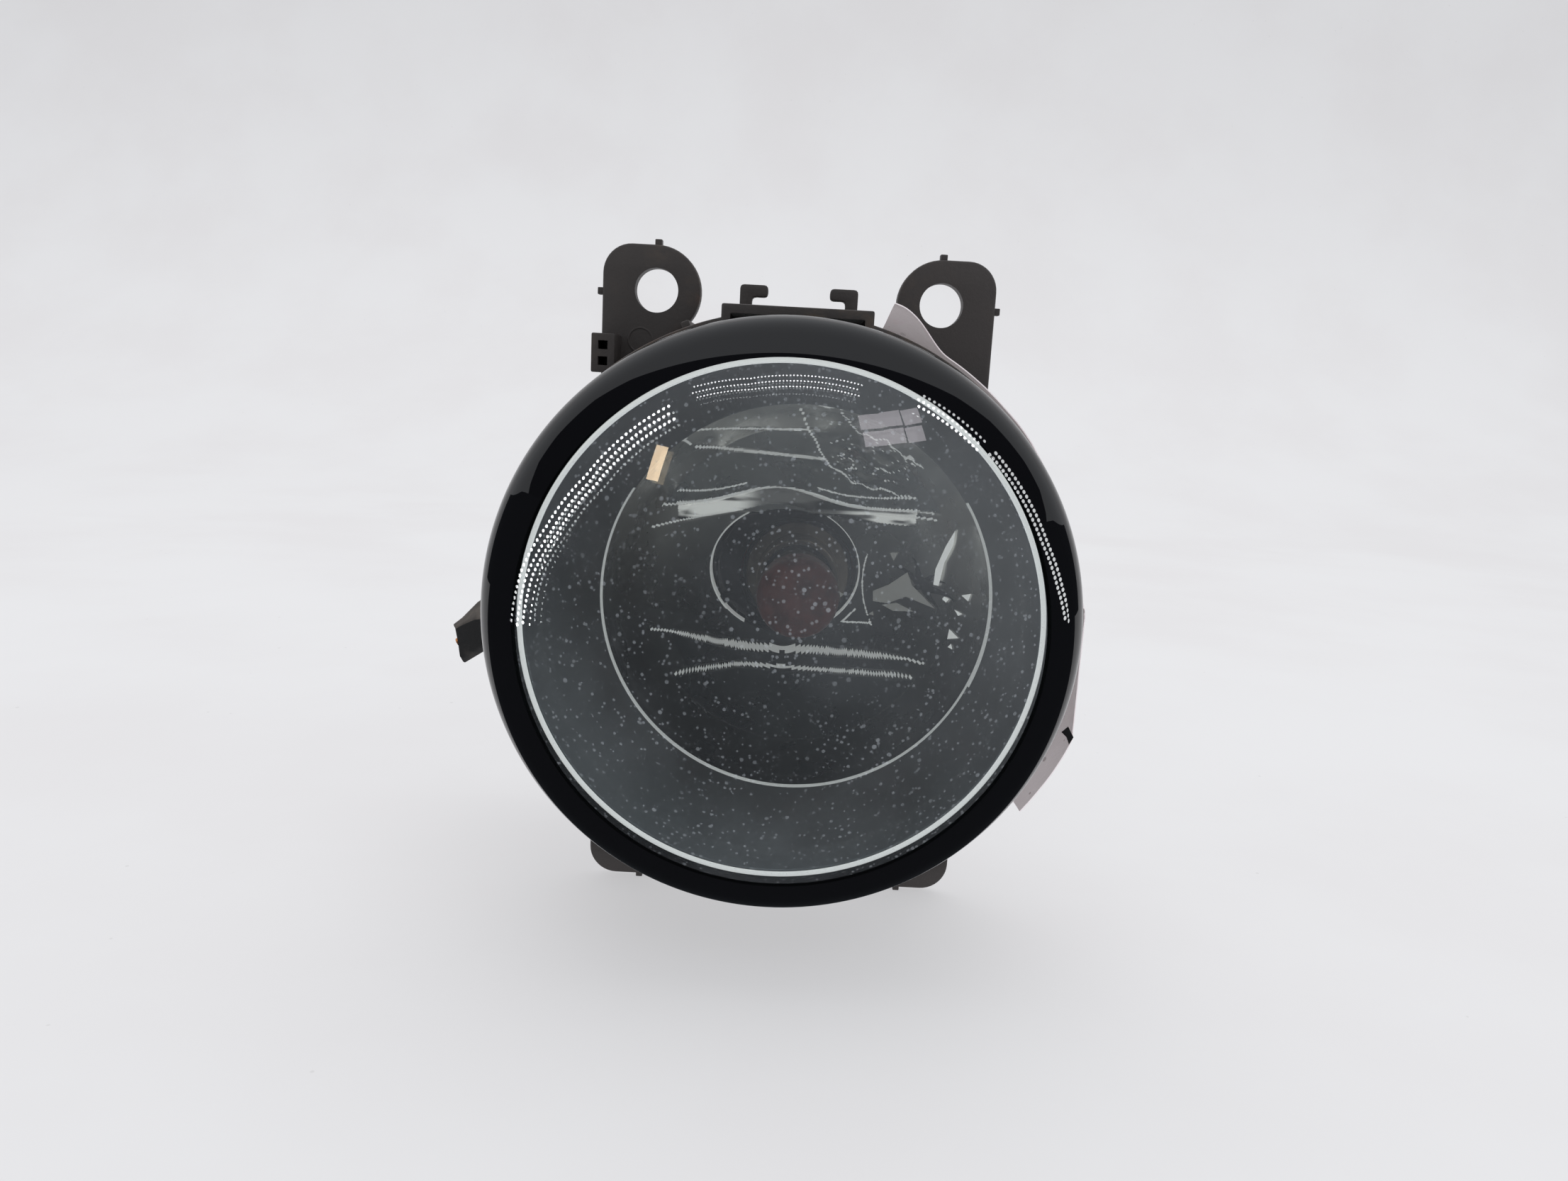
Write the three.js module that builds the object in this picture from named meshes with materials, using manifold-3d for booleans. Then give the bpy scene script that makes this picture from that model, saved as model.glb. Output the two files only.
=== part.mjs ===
// Round front fog light with a clear domed lens, on its four-ear mounting bracket. Millimetres.
// The lens faces -Y and +Z is up. The origin is the centre of the four screw holes, in the ears'
// front faces. Depths are measured backwards from the plane of the rim, the widest part of the lamp.
import * as THREE from 'three';
import { mergeVertices } from 'three/addons/utils/BufferGeometryUtils.js';
import Module from 'manifold-3d';

const wasm = await Module();
wasm.setup();

// ---- driving dimensions -------------------------------------------------------------------
const RIM_RADIUS = 45;
const RIM_TO_EARS = 36;
const TOUCH_GAP = 0.3;
const WELD = 1e-4;
const ROUND = 40;
// Cutting tools run past the surface they cut, and joined solids sink into each other.
const PAST = 1;
const SINK = 0.1;

const LENS = { apex: -18.5, dome: 80, roll: 6, thick: 2.6, skirtBack: 3.5 };
const SEAL = { inner: 42.9, outer: 44.6, front: 3.8, back: 4.6 };
const BULB_AXIS = { x: 2.5, z: 0.8 };
const BOWL_SHIFT = { x: 2.1, z: 1.4, from: -4.5, to: 11.5 };

const REFLECTOR = {
  inside: [[38.1, -4.5], [31, 11.5], [30.7, 15], [29.7, 20], [27.3, 27], [23.4, 33], [18, 37], [0, 38.6]],
  outside: [[39.2, -4.5], [39.2, -3.4], [33.2, 10.2], [32.5, 15.2], [31.4, 20.5], [28.8, 28],
    [24.6, 34.5], [18.6, 38.7], [0, 40.2]],
  upperStep: { z: 15.5, front: 26 },
  middleStep: { z: 10.5, front: 32 },
  lowerStep: { z: -12.5, front: 27 },
  hole: { halfWidth: 13.4, halfHeight: 11.7, x: 0.2, z: 2.3, from: 20 },
};

const HOUSING = {
  rollRadius: 3,
  inside: [[39.6, -3.83], [39.6, 5.5], [37.1, 13], [35.8, 20], [33.8, 28], [29.8, 35], [24, 40], [18, 42],
    [0, 42]],
  outside: [[42, 4.9], [44.6, 4.9], [44.6, 7.4], [41.4, 7.4], [38.9, 13.2], [37.6, 20], [35.6, 28.6],
    [31.4, 36.1], [25.2, 41.6], [19, 43.8], [0, 43.8]],
};
const HUB = { radius: 15.1, bore: 10.6, mouth: 13.1, front: 41, step: 46, back: 52 };
const REAR_RIB = { angles: [20, 160, 200, 340], end: 26, front: 38, back: 47, thick: 1.6 };
const VENT = { x: 14, z: -17, tube: 3, bore: 1.6, front: 41, back: 46.5 };
const VENT_CAP = { radius: 5.2, front: 44.3, back: 49, bevel: 0.8 };

const PIVOT = { depth: 22, pin: 2, pinFrom: 38.6, pinTo: 47.4, bore: 2.3, boss: 4.6, bossFrom: 33,
  bossEnd: 42.6 };
const BUSH = { bore: 2.15, barrel: 3.3, flange: 4.4, flangeFrom: 43.1, flangeTo: 44, end: 46.9 };

const ADJUST = { z: 40.7, shank: 2, from: 18.5, washer: 5, headFrom: 40.4, headTo: 44.8, head: 4.4,
  recess: 2.2, recessDepth: 2.6, clearance: 0.5 };
const NUT = { bore: 2.45, barrel: 3.1, flange: 4, from: 18.1, flangeTo: 27 };
const LUG = { halfWidth: 4.8, top: 45, root: 33, from: 18.7, to: 25.2, hole: 3.45 };
const RETAINER = { bore: 2.3, outer: 4.2, from: 34.3, to: 35.6, mouth: 2.6 };
const WINDOW = { halfWidth: 5.5, top: 47.5, notchTop: 45.5, notchFrom: 25 };

const CAN = { inner: 44.3, outer: 46.3, front: 10.5, opening: 34, segments: 48 };
const CAN_RIB = { angles: [112, 150, 165, 200, 215, 248, 292], front: 17, proud: 1.4, thick: 1.4 };
const PLATE = 3;
const PLATE_BACK = RIM_TO_EARS + PLATE;
const HOLE = { x: 24.65, z: 50, radius: 3.75 };
const EAR = { side: 34, end: 57.6, corner: 5, lobe: 7.7, lobeEnd: 245, neck: 21.5, neckTop: 35, root: 30 };
const NUB = { size: 1.2, proud: 1, lead: 2, below: 0.5 };
const BLOCK = { halfWidth: 11.7, upper: 46.9, lower: 49.6, root: 43, front: CAN.front, back: 28, wall: 1.4 };
const HOOK = { inner: 5.1, outer: 9.7, height: 4.1, post: 2, bar: 1.9, thick: 2.6, corner: 1.3 };
const POCKET = { out: 34.6, inner: 30.6, low: 35.6, high: 42.1, front: 29, wall: 1.2, floor: 2 };

const LABEL = { thick: 0.3, front: 11.5, back: 21.5, stuck: 46.8, steps: 36,
  low: -38, lowFull: -14, lowStuck: 28, lowLift: 2.4, high: 73, highFull: 74, highStuck: 62, highLift: 2.4 };

const GLASS = { radius: 6, wall: 0.9, front: 14.6, back: 37, nose: 4 };
const CAP = { radius: 6.9, wall: 0.6, front: 13.2, back: 21, nose: 4.6 };
const SLEEVE = { inner: 6.4, outer: 7.4, front: 35, flangeFrom: 43, flangeTo: 44.2, flange: 9.6 };
const FILAMENT = { radius: 0.8, front: 20.5, back: 25 };
const LEAD = { radius: 0.35, back: 43.6, offset: 3.3, hook: 1.2, straightFrom: 32, stepTo: 38,
  shortOffset: 1.6 };
const BASE = { collar: 10.2, collarFrom: 44.6, core: 9.4, disc: 14.5, discFrom: 52.4, discTo: 55,
  wireRoom: 5, wireRoomDepth: 2 };
const TAB = { radius: 12.6, from: 47, to: 49.2, halfAngle: 17, angles: [90, 210, 330] };
const O_RING = { inner: 9.75, outer: 12.7, front: 49.7, back: 52, bevel: 0.6 };

const CONNECTOR_DROP = 13;
const SOCKET = { halfHeight: 8.2, front: 52.4, back: 66, end: -26, floor: -14, wall: 1.7, start: 8 };
const BLADE = { from: -14.3, to: -23, offset: 3.1, halfHeight: 1.4, halfThick: 0.4 };
const PLUG = { noseEnd: -15, face: -26.4, back: -51.6, noseHeight: 5.2, noseDepth: 3.9,
  halfHeight: 6.6, front: 52.3, rear: 66.2, bevel: 2, chamfer: 5, slotGap: 0.4 };
const PLUG_SEAL = { from: -20.5, to: -17.5, wall: 0.55 };
const LATCH = { halfWidth: 3.6, front: 67.6, back: 69, from: -46, to: -22.5, pivot: -37, post: 1.4,
  postHalfWidth: 2.6, grip: 3, gripProud: 0.8 };
const WIRE = { radius: 1.15, hole: 1.5, holeDepth: 6, length: 6.3, offset: 1.9, droop: 24 };

// ---- solids -------------------------------------------------------------------------------
// A closed geometry as a solid: collapsed triangles are dropped and the faces are turned outwards.
function solid(geometry) {
  const bare = geometry.clone();
  bare.deleteAttribute('normal');
  bare.deleteAttribute('uv');
  const welded = mergeVertices(bare, WELD);
  const points = welded.attributes.position;
  const corners = [0, 1, 2].map(() => new THREE.Vector3());
  const triangles = [];
  let volume = 0;
  for (let i = 0; i < welded.index.count; i += 3) {
    const triangle = [0, 1, 2].map((k) => welded.index.getX(i + k));
    if (new Set(triangle).size < 3) continue;
    corners.forEach((corner, k) => corner.fromBufferAttribute(points, triangle[k]));
    volume += corners[0].dot(corners[1].clone().cross(corners[2]));
    triangles.push(triangle);
  }
  if (volume < 0) triangles.forEach((triangle) => triangle.reverse());
  return new wasm.Manifold(new wasm.Mesh({
    numProp: 3,
    vertProperties: Float32Array.from(points.array),
    triVerts: Uint32Array.from(triangles.flat()),
  }));
}

// A profile of [radius, depth] points turned about the Y axis.
function turned(profile, segments = ROUND) {
  return solid(new THREE.LatheGeometry(profile.map(([r, d]) => new THREE.Vector2(r, d)), segments));
}

// A ring with a plain rectangular section.
function ring(inner, outer, from, to, segments = ROUND) {
  return turned([[inner, from], [outer, from], [outer, to], [inner, to], [inner, from]], segments);
}

function rod(radius, from, to, segments = 24) {
  const geometry = new THREE.CylinderGeometry(radius, radius, to - from, segments);
  return solid(geometry.translate(0, (from + to) / 2, 0));
}

// The same rod, lying along X.
function crossRod(radius, from, to, segments = 24) {
  const geometry = new THREE.CylinderGeometry(radius, radius, to - from, segments);
  return solid(geometry.rotateZ(Math.PI / 2).translate((from + to) / 2, 0, 0));
}

function box(low, high) {
  const size = high.map((value, k) => value - low[k]);
  const middle = high.map((value, k) => (value + low[k]) / 2);
  return solid(new THREE.BoxGeometry(...size).translate(...middle));
}

// An outline drawn in X and Z, made solid from depth `from` to depth `to`.
function plate(shape, from, to, curveSegments = 8) {
  const depth = to - from;
  const geometry = new THREE.ExtrudeGeometry(shape, { depth, bevelEnabled: false, curveSegments });
  return solid(geometry.rotateX(Math.PI / 2).translate(0, to, 0));
}

// A skin through a row of outlines that all have the same number of points, closed at both ends.
function loft(sections) {
  const count = sections[0].length;
  const index = [];
  for (let s = 0; s + 1 < sections.length; s += 1) {
    for (let i = 0; i < count; i += 1) {
      const a = s * count + i;
      const b = s * count + ((i + 1) % count);
      index.push(a, b, a + count, b, b + count, a + count);
    }
  }
  const last = (sections.length - 1) * count;
  for (let i = 1; i + 1 < count; i += 1) {
    index.push(0, i + 1, i);
    index.push(last, last + i, last + i + 1);
  }
  const geometry = new THREE.BufferGeometry();
  geometry.setAttribute('position', new THREE.Float32BufferAttribute(sections.flat(2), 3));
  geometry.setIndex(index);
  return solid(geometry);
}

function wirePath(radius, points, sides = 6) {
  const section = new THREE.Shape();
  section.absarc(0, 0, radius, 0, 2 * Math.PI);
  const stops = points.map((point) => new THREE.Vector3(...point));
  const path = new THREE.CatmullRomCurve3(stops, false, 'catmullrom', 0.2);
  return solid(new THREE.ExtrudeGeometry(section, {
    steps: 2 * points.length, curveSegments: sides, extrudePath: path,
  }));
}

// Moves points sideways by the bowl's shift, fully behind BOWL_SHIFT.to and not at all before .from.
function shiftBowl(body) {
  return body.warp((point) => {
    const share = (point[1] - BOWL_SHIFT.from) / (BOWL_SHIFT.to - BOWL_SHIFT.from);
    const amount = Math.min(1, Math.max(0, share));
    point[0] += BOWL_SHIFT.x * amount;
    point[2] += BOWL_SHIFT.z * amount;
  });
}

function toGeometry(body) {
  const { vertProperties, triVerts } = body.getMesh();
  const geometry = new THREE.BufferGeometry();
  geometry.setAttribute('position', new THREE.Float32BufferAttribute(vertProperties, 3));
  geometry.setIndex(Array.from(triVerts));
  geometry.computeVertexNormals();
  return geometry;
}

function named(name, body, [color, roughness, metalness], place = {}) {
  const material = new THREE.MeshStandardMaterial({ color, roughness, metalness });
  const mesh = new THREE.Mesh(toGeometry(body), material);
  mesh.name = name;
  mesh.position.set(place.x ?? 0, place.y ?? 0, place.z ?? 0);
  return mesh;
}

// ---- materials: colour, roughness, metalness ----------------------------------------------
const CLEAR = [0xd7dee0, 0.05, 0];
const MIRROR = [0xb9bcc0, 0.15, 1];
const BLACK_GLOSS = [0x1c1d20, 0.3, 0];
const BLACK_PLASTIC = [0x2b2827, 0.65, 0];
const RUBBER = [0x1a1a1a, 0.85, 0];
const ZINC = [0xa9abad, 0.35, 1];
const TUNGSTEN = [0x6b6d72, 0.4, 1];
const COPPER = [0xb5683c, 0.4, 1];
const TIN = [0xc4c2b8, 0.35, 1];
const TIP = [0x4a2c26, 0.45, 0];
const NATURAL = [0xd9d4c4, 0.5, 0];
const PAPER = [0xd9c9cb, 0.9, 0];
const SILICONE = [0x9c3f2c, 0.7, 0];

// ---- lamp body ----------------------------------------------------------------------------
// The domed face, `inset` below the lens's outer surface: a sphere that rolls over into the skirt.
function domeProfile(inset) {
  const rollCentre = RIM_RADIUS - LENS.roll;
  const meet = Math.asin(rollCentre / (LENS.dome - LENS.roll));
  const sphereDepth = LENS.apex + LENS.dome;
  const rollDepth = sphereDepth - (LENS.dome - LENS.roll) * Math.cos(meet);
  return {
    dome: arc([0, sphereDepth], LENS.dome - inset, 0, meet, 7),
    roll: arc([rollCentre, rollDepth], LENS.roll - inset, meet, Math.PI / 2, 4),
  };
}

// Points on an arc; the angle is 0 straight ahead and grows outwards.
function arc([r, d], radius, from, to, steps) {
  return Array.from({ length: steps + 1 }, (_, i) => {
    const angle = from + ((to - from) * i) / steps;
    return [r + radius * Math.sin(angle), d - radius * Math.cos(angle)];
  });
}

function lens() {
  const outer = domeProfile(0);
  const inner = domeProfile(LENS.thick);
  return turned([
    ...outer.dome, ...outer.roll.slice(1),
    [RIM_RADIUS, LENS.skirtBack], [RIM_RADIUS - LENS.thick, LENS.skirtBack],
    ...inner.roll.slice(1).reverse(), ...inner.dome.reverse(),
  ]);
}

function reflector() {
  const first = REFLECTOR.outside[0][1];
  const last = REFLECTOR.outside.at(-1)[1];
  const filled = shiftBowl(turned([[0, first], ...REFLECTOR.outside]));
  const hollow = shiftBowl(turned([[0, first], ...REFLECTOR.inside]));
  const { upperStep, middleStep, lowerStep, hole } = REFLECTOR;
  const upper = box([-RIM_RADIUS, upperStep.front, upperStep.z], [RIM_RADIUS, last, RIM_RADIUS]);
  const middle = box([-RIM_RADIUS, middleStep.front, middleStep.z], [RIM_RADIUS, last, RIM_RADIUS]);
  const lower = box([-RIM_RADIUS, lowerStep.front, -RIM_RADIUS], [RIM_RADIUS, last, lowerStep.z]);
  const steps = upper.add(middle).add(lower).intersect(filled);
  const opening = new THREE.Shape();
  opening.absellipse(hole.x, hole.z, hole.halfWidth, hole.halfHeight, 0, 2 * Math.PI);
  return filled.subtract(hollow).add(steps).subtract(plate(opening, hole.from, last + PAST, 16));
}

function pivotBoss(side) {
  const boss = crossRod(PIVOT.boss, PIVOT.bossFrom, PIVOT.bossEnd);
  return (side > 0 ? boss : boss.mirror([1, 0, 0])).translate([0, PIVOT.depth, 0]);
}

function pivotBore(side) {
  const bore = crossRod(PIVOT.bore, PIVOT.pinFrom - TOUCH_GAP, PIVOT.bossEnd + PAST, 16);
  return (side > 0 ? bore : bore.mirror([1, 0, 0])).translate([0, PIVOT.depth, 0]);
}

function housing() {
  const { roll } = domeProfile(LENS.roll - HOUSING.rollRadius);
  const filled = turned([[0, roll[0][1]], ...roll, ...HOUSING.outside]);
  const [mouthRadius, mouthDepth] = HOUSING.inside[0];
  const hollow = turned([[0, mouthDepth - PAST], [mouthRadius, mouthDepth - PAST], ...HOUSING.inside]);
  const centred = (body) => body.translate([BULB_AXIS.x, 0, BULB_AXIS.z]);
  const hub = centred(rod(HUB.radius, HUB.front, HUB.back, ROUND));
  const hubBore = rod(HUB.bore, HUB.front - PAST, HUB.step + SINK, 32)
    .add(rod(HUB.mouth, HUB.step, HUB.back + PAST, 32));
  const vent = rod(VENT.tube, VENT.front, VENT.back, 16).translate([VENT.x, 0, VENT.z]);
  const ventBore = rod(VENT.bore, VENT.front - 5 * PAST, VENT.back + PAST, 12).translate([VENT.x, 0, VENT.z]);
  const lug = box([-LUG.halfWidth, LUG.from, LUG.root], [LUG.halfWidth, LUG.to, LUG.top]);
  const lugHole = rod(LUG.hole, LUG.from - PAST, LUG.to + PAST, 20).translate([0, 0, ADJUST.z]);
  const ribs = REAR_RIB.angles.map(rearRib);
  const outside = [pivotBoss(1), pivotBoss(-1), lug, vent, ...ribs]
    .reduce((body, piece) => body.add(piece), filled.add(hub));
  return [hollow, centred(hubBore), pivotBore(1), pivotBore(-1), lugHole, ventBore]
    .reduce((body, piece) => body.subtract(piece), outside);
}

// A web between the hub and the back of the bowl.
function rearRib(degrees) {
  const { end, front, back, thick } = REAR_RIB;
  const web = box([HUB.radius - PAST, front, -thick / 2], [end, back, thick / 2]);
  return web.rotate([0, degrees, 0]).translate([BULB_AXIS.x, 0, BULB_AXIS.z]);
}

function pivotPin(side) {
  const pin = crossRod(PIVOT.pin, PIVOT.pinFrom, PIVOT.pinTo, 16);
  return (side > 0 ? pin : pin.mirror([1, 0, 0])).translate([0, PIVOT.depth, 0]);
}

function ventCap() {
  const { radius, front, back, bevel } = VENT_CAP;
  const inner = VENT.tube + TOUCH_GAP;
  const roof = VENT.back + TOUCH_GAP;
  return turned([[0, roof], [inner, roof], [inner, front], [radius, front], [radius, back - bevel],
    [radius - bevel, back], [0, back]], 20);
}

function adjusterNut() {
  const flangeFrom = LUG.to + TOUCH_GAP;
  const barrel = rod(NUT.barrel, NUT.from, flangeFrom + SINK, 20);
  const flange = rod(NUT.flange, flangeFrom, NUT.flangeTo, 6);
  return barrel.add(flange).subtract(rod(NUT.bore, NUT.from - PAST, NUT.flangeTo + PAST, 20));
}

// ---- adjuster -----------------------------------------------------------------------------
function adjusterScrew() {
  const washerFrom = PLATE_BACK + TOUCH_GAP;
  const shank = rod(ADJUST.shank, ADJUST.from, ADJUST.headFrom, 16);
  const washer = rod(ADJUST.washer, washerFrom, ADJUST.headFrom + SINK, 24);
  const head = rod(ADJUST.head, ADJUST.headFrom, ADJUST.headTo, 6);
  const recess = rod(ADJUST.recess, ADJUST.headTo - ADJUST.recessDepth, ADJUST.headTo + PAST, 6);
  return shank.add(washer).add(head).subtract(recess);
}

function adjusterRetainer() {
  const { bore, outer, from, to, mouth } = RETAINER;
  const slot = box([-mouth / 2, from - PAST, 0], [mouth / 2, to + PAST, outer + PAST]);
  return ring(bore, outer, from, to, 24).subtract(slot);
}

// ---- bracket ------------------------------------------------------------------------------
// One ear in the quarter where X and Z are positive: a square outer corner and a round inner lobe.
function earShape() {
  const shape = new THREE.Shape();
  shape.moveTo(EAR.side, EAR.root);
  shape.lineTo(EAR.side, EAR.end - EAR.corner);
  shape.absarc(EAR.side - EAR.corner, EAR.end - EAR.corner, EAR.corner, 0, Math.PI / 2);
  shape.absarc(HOLE.x, EAR.end - EAR.lobe, EAR.lobe, Math.PI / 2, THREE.MathUtils.degToRad(EAR.lobeEnd));
  shape.lineTo(EAR.neck, EAR.neckTop);
  shape.lineTo(EAR.neck, EAR.root);
  return shape;
}

function nub(x, z) {
  const half = NUB.size / 2;
  return box([x - half, PLATE_BACK - NUB.lead, z - half], [x + half, PLATE_BACK, z + half]);
}

function ear() {
  const hole = rod(HOLE.radius, RIM_TO_EARS - PAST, PLATE_BACK + PAST, 28).translate([HOLE.x, 0, HOLE.z]);
  const reach = NUB.proud - NUB.size / 2;
  return plate(earShape(), RIM_TO_EARS, PLATE_BACK)
    .add(nub(EAR.side + reach, HOLE.z - NUB.below))
    .add(nub(HOLE.x, EAR.end + reach))
    .subtract(hole);
}

// A hollow block on top of the can, open to the front and towards the lamp.
function block(top) {
  const { halfWidth, root, front, back, wall } = BLOCK;
  const half = halfWidth - wall;
  const shell = box([-halfWidth, front, root], [halfWidth, back, top]);
  const room = box([-half, front - PAST, root - PAST], [half, back - wall, top - wall]);
  return { shell, room };
}

// A hook that stands on the block's rear edge and points towards the middle.
function hook(side) {
  const { inner, outer, height, post, bar, thick, corner } = HOOK;
  const shape = new THREE.Shape();
  const foot = BLOCK.upper - PAST;
  const tip = BLOCK.upper + height;
  shape.moveTo(side * (outer - post), foot);
  shape.lineTo(side * outer, foot);
  shape.lineTo(side * outer, tip - corner);
  shape.quadraticCurveTo(side * outer, tip, side * (outer - corner), tip);
  shape.lineTo(side * inner, tip);
  shape.lineTo(side * inner, tip - bar);
  shape.lineTo(side * (outer - post), tip - bar);
  return plate(shape, BLOCK.back - thick, BLOCK.back, 4);
}

// A small box on the outer side of the upper left ear, open to the front and split by a shelf.
function sidePocket() {
  const { out, inner, low, high, front, wall, floor } = POCKET;
  const shelf = (low + high) / 2;
  const shell = box([-out, front, low], [-inner, PLATE_BACK, high]);
  const room = (from, to) => box([-out + wall, front - PAST, from], [-inner - wall, PLATE_BACK - floor, to]);
  const lowerRoom = room(low + wall, shelf - wall / 2);
  const upperRoom = room(shelf + wall / 2, high - wall);
  return shell.subtract(lowerRoom).subtract(upperRoom);
}

function canRib(degrees) {
  const { front, proud, thick } = CAN_RIB;
  const rib = box([CAN.outer - PAST, front, -thick / 2], [CAN.outer + proud, RIM_TO_EARS + SINK, thick / 2]);
  return rib.rotate([0, -degrees, 0]);
}

function bracket() {
  const { inner, outer, front, opening, segments } = CAN;
  const can = turned([[inner, front], [outer, front], [outer, PLATE_BACK], [opening, PLATE_BACK],
    [opening, RIM_TO_EARS], [inner, RIM_TO_EARS], [inner, front]], segments);
  const cavity = rod(inner, front - PAST, RIM_TO_EARS, segments);
  const topEars = ear().add(ear().mirror([1, 0, 0]));
  const top = block(BLOCK.upper);
  const low = block(BLOCK.lower);
  const mirrored = (body) => body.mirror([0, 0, 1]);
  const ribs = CAN_RIB.angles.map(canRib);
  const solidParts = [topEars, mirrored(topEars), top.shell, mirrored(low.shell), sidePocket(), ...ribs]
    .reduce((body, piece) => body.add(piece), can);
  const reach = outer + CAN_RIB.proud + PAST;
  const bushHole = crossRod(BUSH.barrel + TOUCH_GAP, -reach, reach, 20).translate([0, PIVOT.depth, 0]);
  const screwHole = rod(ADJUST.shank + ADJUST.clearance, RIM_TO_EARS - PAST, PLATE_BACK + PAST, 20)
    .translate([0, 0, ADJUST.z]);
  const rearOpening = rod(opening, RIM_TO_EARS - PAST, PLATE_BACK + PAST, segments);
  const { halfWidth, top: windowTop, notchTop, notchFrom } = WINDOW;
  const window = box([-halfWidth, BLOCK.back, ADJUST.z], [halfWidth, RIM_TO_EARS, windowTop])
    .add(box([-halfWidth, notchFrom, ADJUST.z], [halfWidth, BLOCK.back + SINK, notchTop]));
  return [cavity, rearOpening, top.room, mirrored(low.room), bushHole, screwHole, window]
    .reduce((body, piece) => body.subtract(piece), solidParts)
    .add(hook(1)).add(hook(-1));
}

function pivotBush(side) {
  const bush = crossRod(BUSH.flange, BUSH.flangeFrom, BUSH.flangeTo)
    .add(crossRod(BUSH.barrel, BUSH.flangeTo - SINK, BUSH.end))
    .subtract(crossRod(BUSH.bore, BUSH.flangeFrom - PAST, BUSH.end + PAST, 20));
  return (side > 0 ? bush : bush.mirror([1, 0, 0])).translate([0, PIVOT.depth, 0]);
}

// How far the paper stands off the bracket at an angle round the lamp, lifting at both ends.
function labelRadius(degrees) {
  const lowLift = THREE.MathUtils.smoothstep(-degrees, -LABEL.lowStuck, -LABEL.lowFull);
  const highLift = THREE.MathUtils.smoothstep(degrees, LABEL.highStuck, LABEL.highFull);
  return LABEL.stuck + LABEL.lowLift * lowLift + LABEL.highLift * highLift;
}

function paperLabel() {
  const side = (lift, reverse) => {
    const points = Array.from({ length: LABEL.steps + 1 }, (_, i) => {
      const degrees = LABEL.low + ((LABEL.high - LABEL.low) * i) / LABEL.steps;
      const radius = labelRadius(degrees) + lift;
      const angle = THREE.MathUtils.degToRad(degrees);
      return new THREE.Vector2(radius * Math.cos(angle), radius * Math.sin(angle));
    });
    return reverse ? points.reverse() : points;
  };
  return plate(new THREE.Shape([...side(0, false), ...side(LABEL.thick, true)]), LABEL.front, LABEL.back);
}

// ---- bulb ---------------------------------------------------------------------------------
// A tube that is open at the back and rounded off over the length `nose` at the front.
function tubeWithNose({ radius, wall, front, back, nose }) {
  const outer = arc([0, front + nose], 1, 0, Math.PI / 2, 6).map(([r, d]) => [
    r * radius, front + nose + (d - front - nose) * nose]);
  const inner = outer.map(([r, d]) => [r * (1 - wall / radius), d + wall]);
  return turned([...outer, [radius, back], [radius - wall, back], ...inner.reverse()], 24);
}

function bulbSleeve() {
  const { inner, outer, front, flangeFrom, flangeTo, flange } = SLEEVE;
  return turned([[inner, front], [outer, front], [outer, flangeFrom], [flange, flangeFrom],
    [flange, flangeTo], [inner, flangeTo], [inner, front]], 28);
}

function shortLead() {
  const { radius, straightFrom, stepTo, shortOffset, back } = LEAD;
  return wirePath(radius, [[0, FILAMENT.back + TOUCH_GAP, 0], [0, straightFrom, 0],
    [-0.8 * shortOffset, stepTo, 0], [-shortOffset, back, 0]]);
}

function longLead() {
  const { radius, offset, hook: bend, straightFrom, back } = LEAD;
  const front = FILAMENT.front - TOUCH_GAP - radius;
  return wirePath(radius, [[-FILAMENT.radius, front, 0], [offset - bend, front, 0], [offset, front + bend, 0],
    [offset, straightFrom, 0], [offset, back, 0]]);
}

function bulbBase() {
  const tab = new THREE.Shape();
  const half = THREE.MathUtils.degToRad(TAB.halfAngle);
  tab.lineTo(TAB.radius * Math.cos(half), -TAB.radius * Math.sin(half));
  tab.absarc(0, 0, TAB.radius, -half, half);
  const tabs = TAB.angles.map((degrees) => plate(tab, TAB.from, TAB.to, 4).rotate([0, degrees, 0]));
  const core = rod(BASE.core, BASE.collarFrom, BASE.discFrom + SINK, 32);
  const collar = rod(BASE.collar, BASE.collarFrom, TAB.from, 32);
  const disc = rod(BASE.disc, BASE.discFrom, BASE.discTo, 32);
  const { halfHeight, front, back, end, floor, wall, start } = SOCKET;
  const dropped = (body) => body.rotate([0, -CONNECTOR_DROP, 0]);
  const arm = dropped(box([end, front, -halfHeight], [start, back, halfHeight]));
  const room = dropped(box([end - PAST, front + wall, -halfHeight + wall],
    [floor, back - wall, halfHeight - wall]));
  const wireRoom = rod(BASE.wireRoom, BASE.collarFrom - PAST, BASE.collarFrom + BASE.wireRoomDepth, 20);
  return tabs.reduce((body, piece) => body.add(piece), core.add(collar).add(disc).add(arm))
    .subtract(room).subtract(wireRoom);
}

function oRing() {
  const { inner, outer, front, back, bevel } = O_RING;
  return turned([[inner, front + bevel], [inner + bevel, front], [outer - bevel, front],
    [outer, front + bevel], [outer, back - bevel], [outer - bevel, back], [inner + bevel, back],
    [inner, back - bevel], [inner, front + bevel]], 32);
}

function blade(side) {
  const depth = (SOCKET.front + SOCKET.back) / 2;
  const z = side * BLADE.offset;
  return box([BLADE.to, depth - BLADE.halfThick, z - BLADE.halfHeight],
    [BLADE.from, depth + BLADE.halfThick, z + BLADE.halfHeight]);
}

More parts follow.
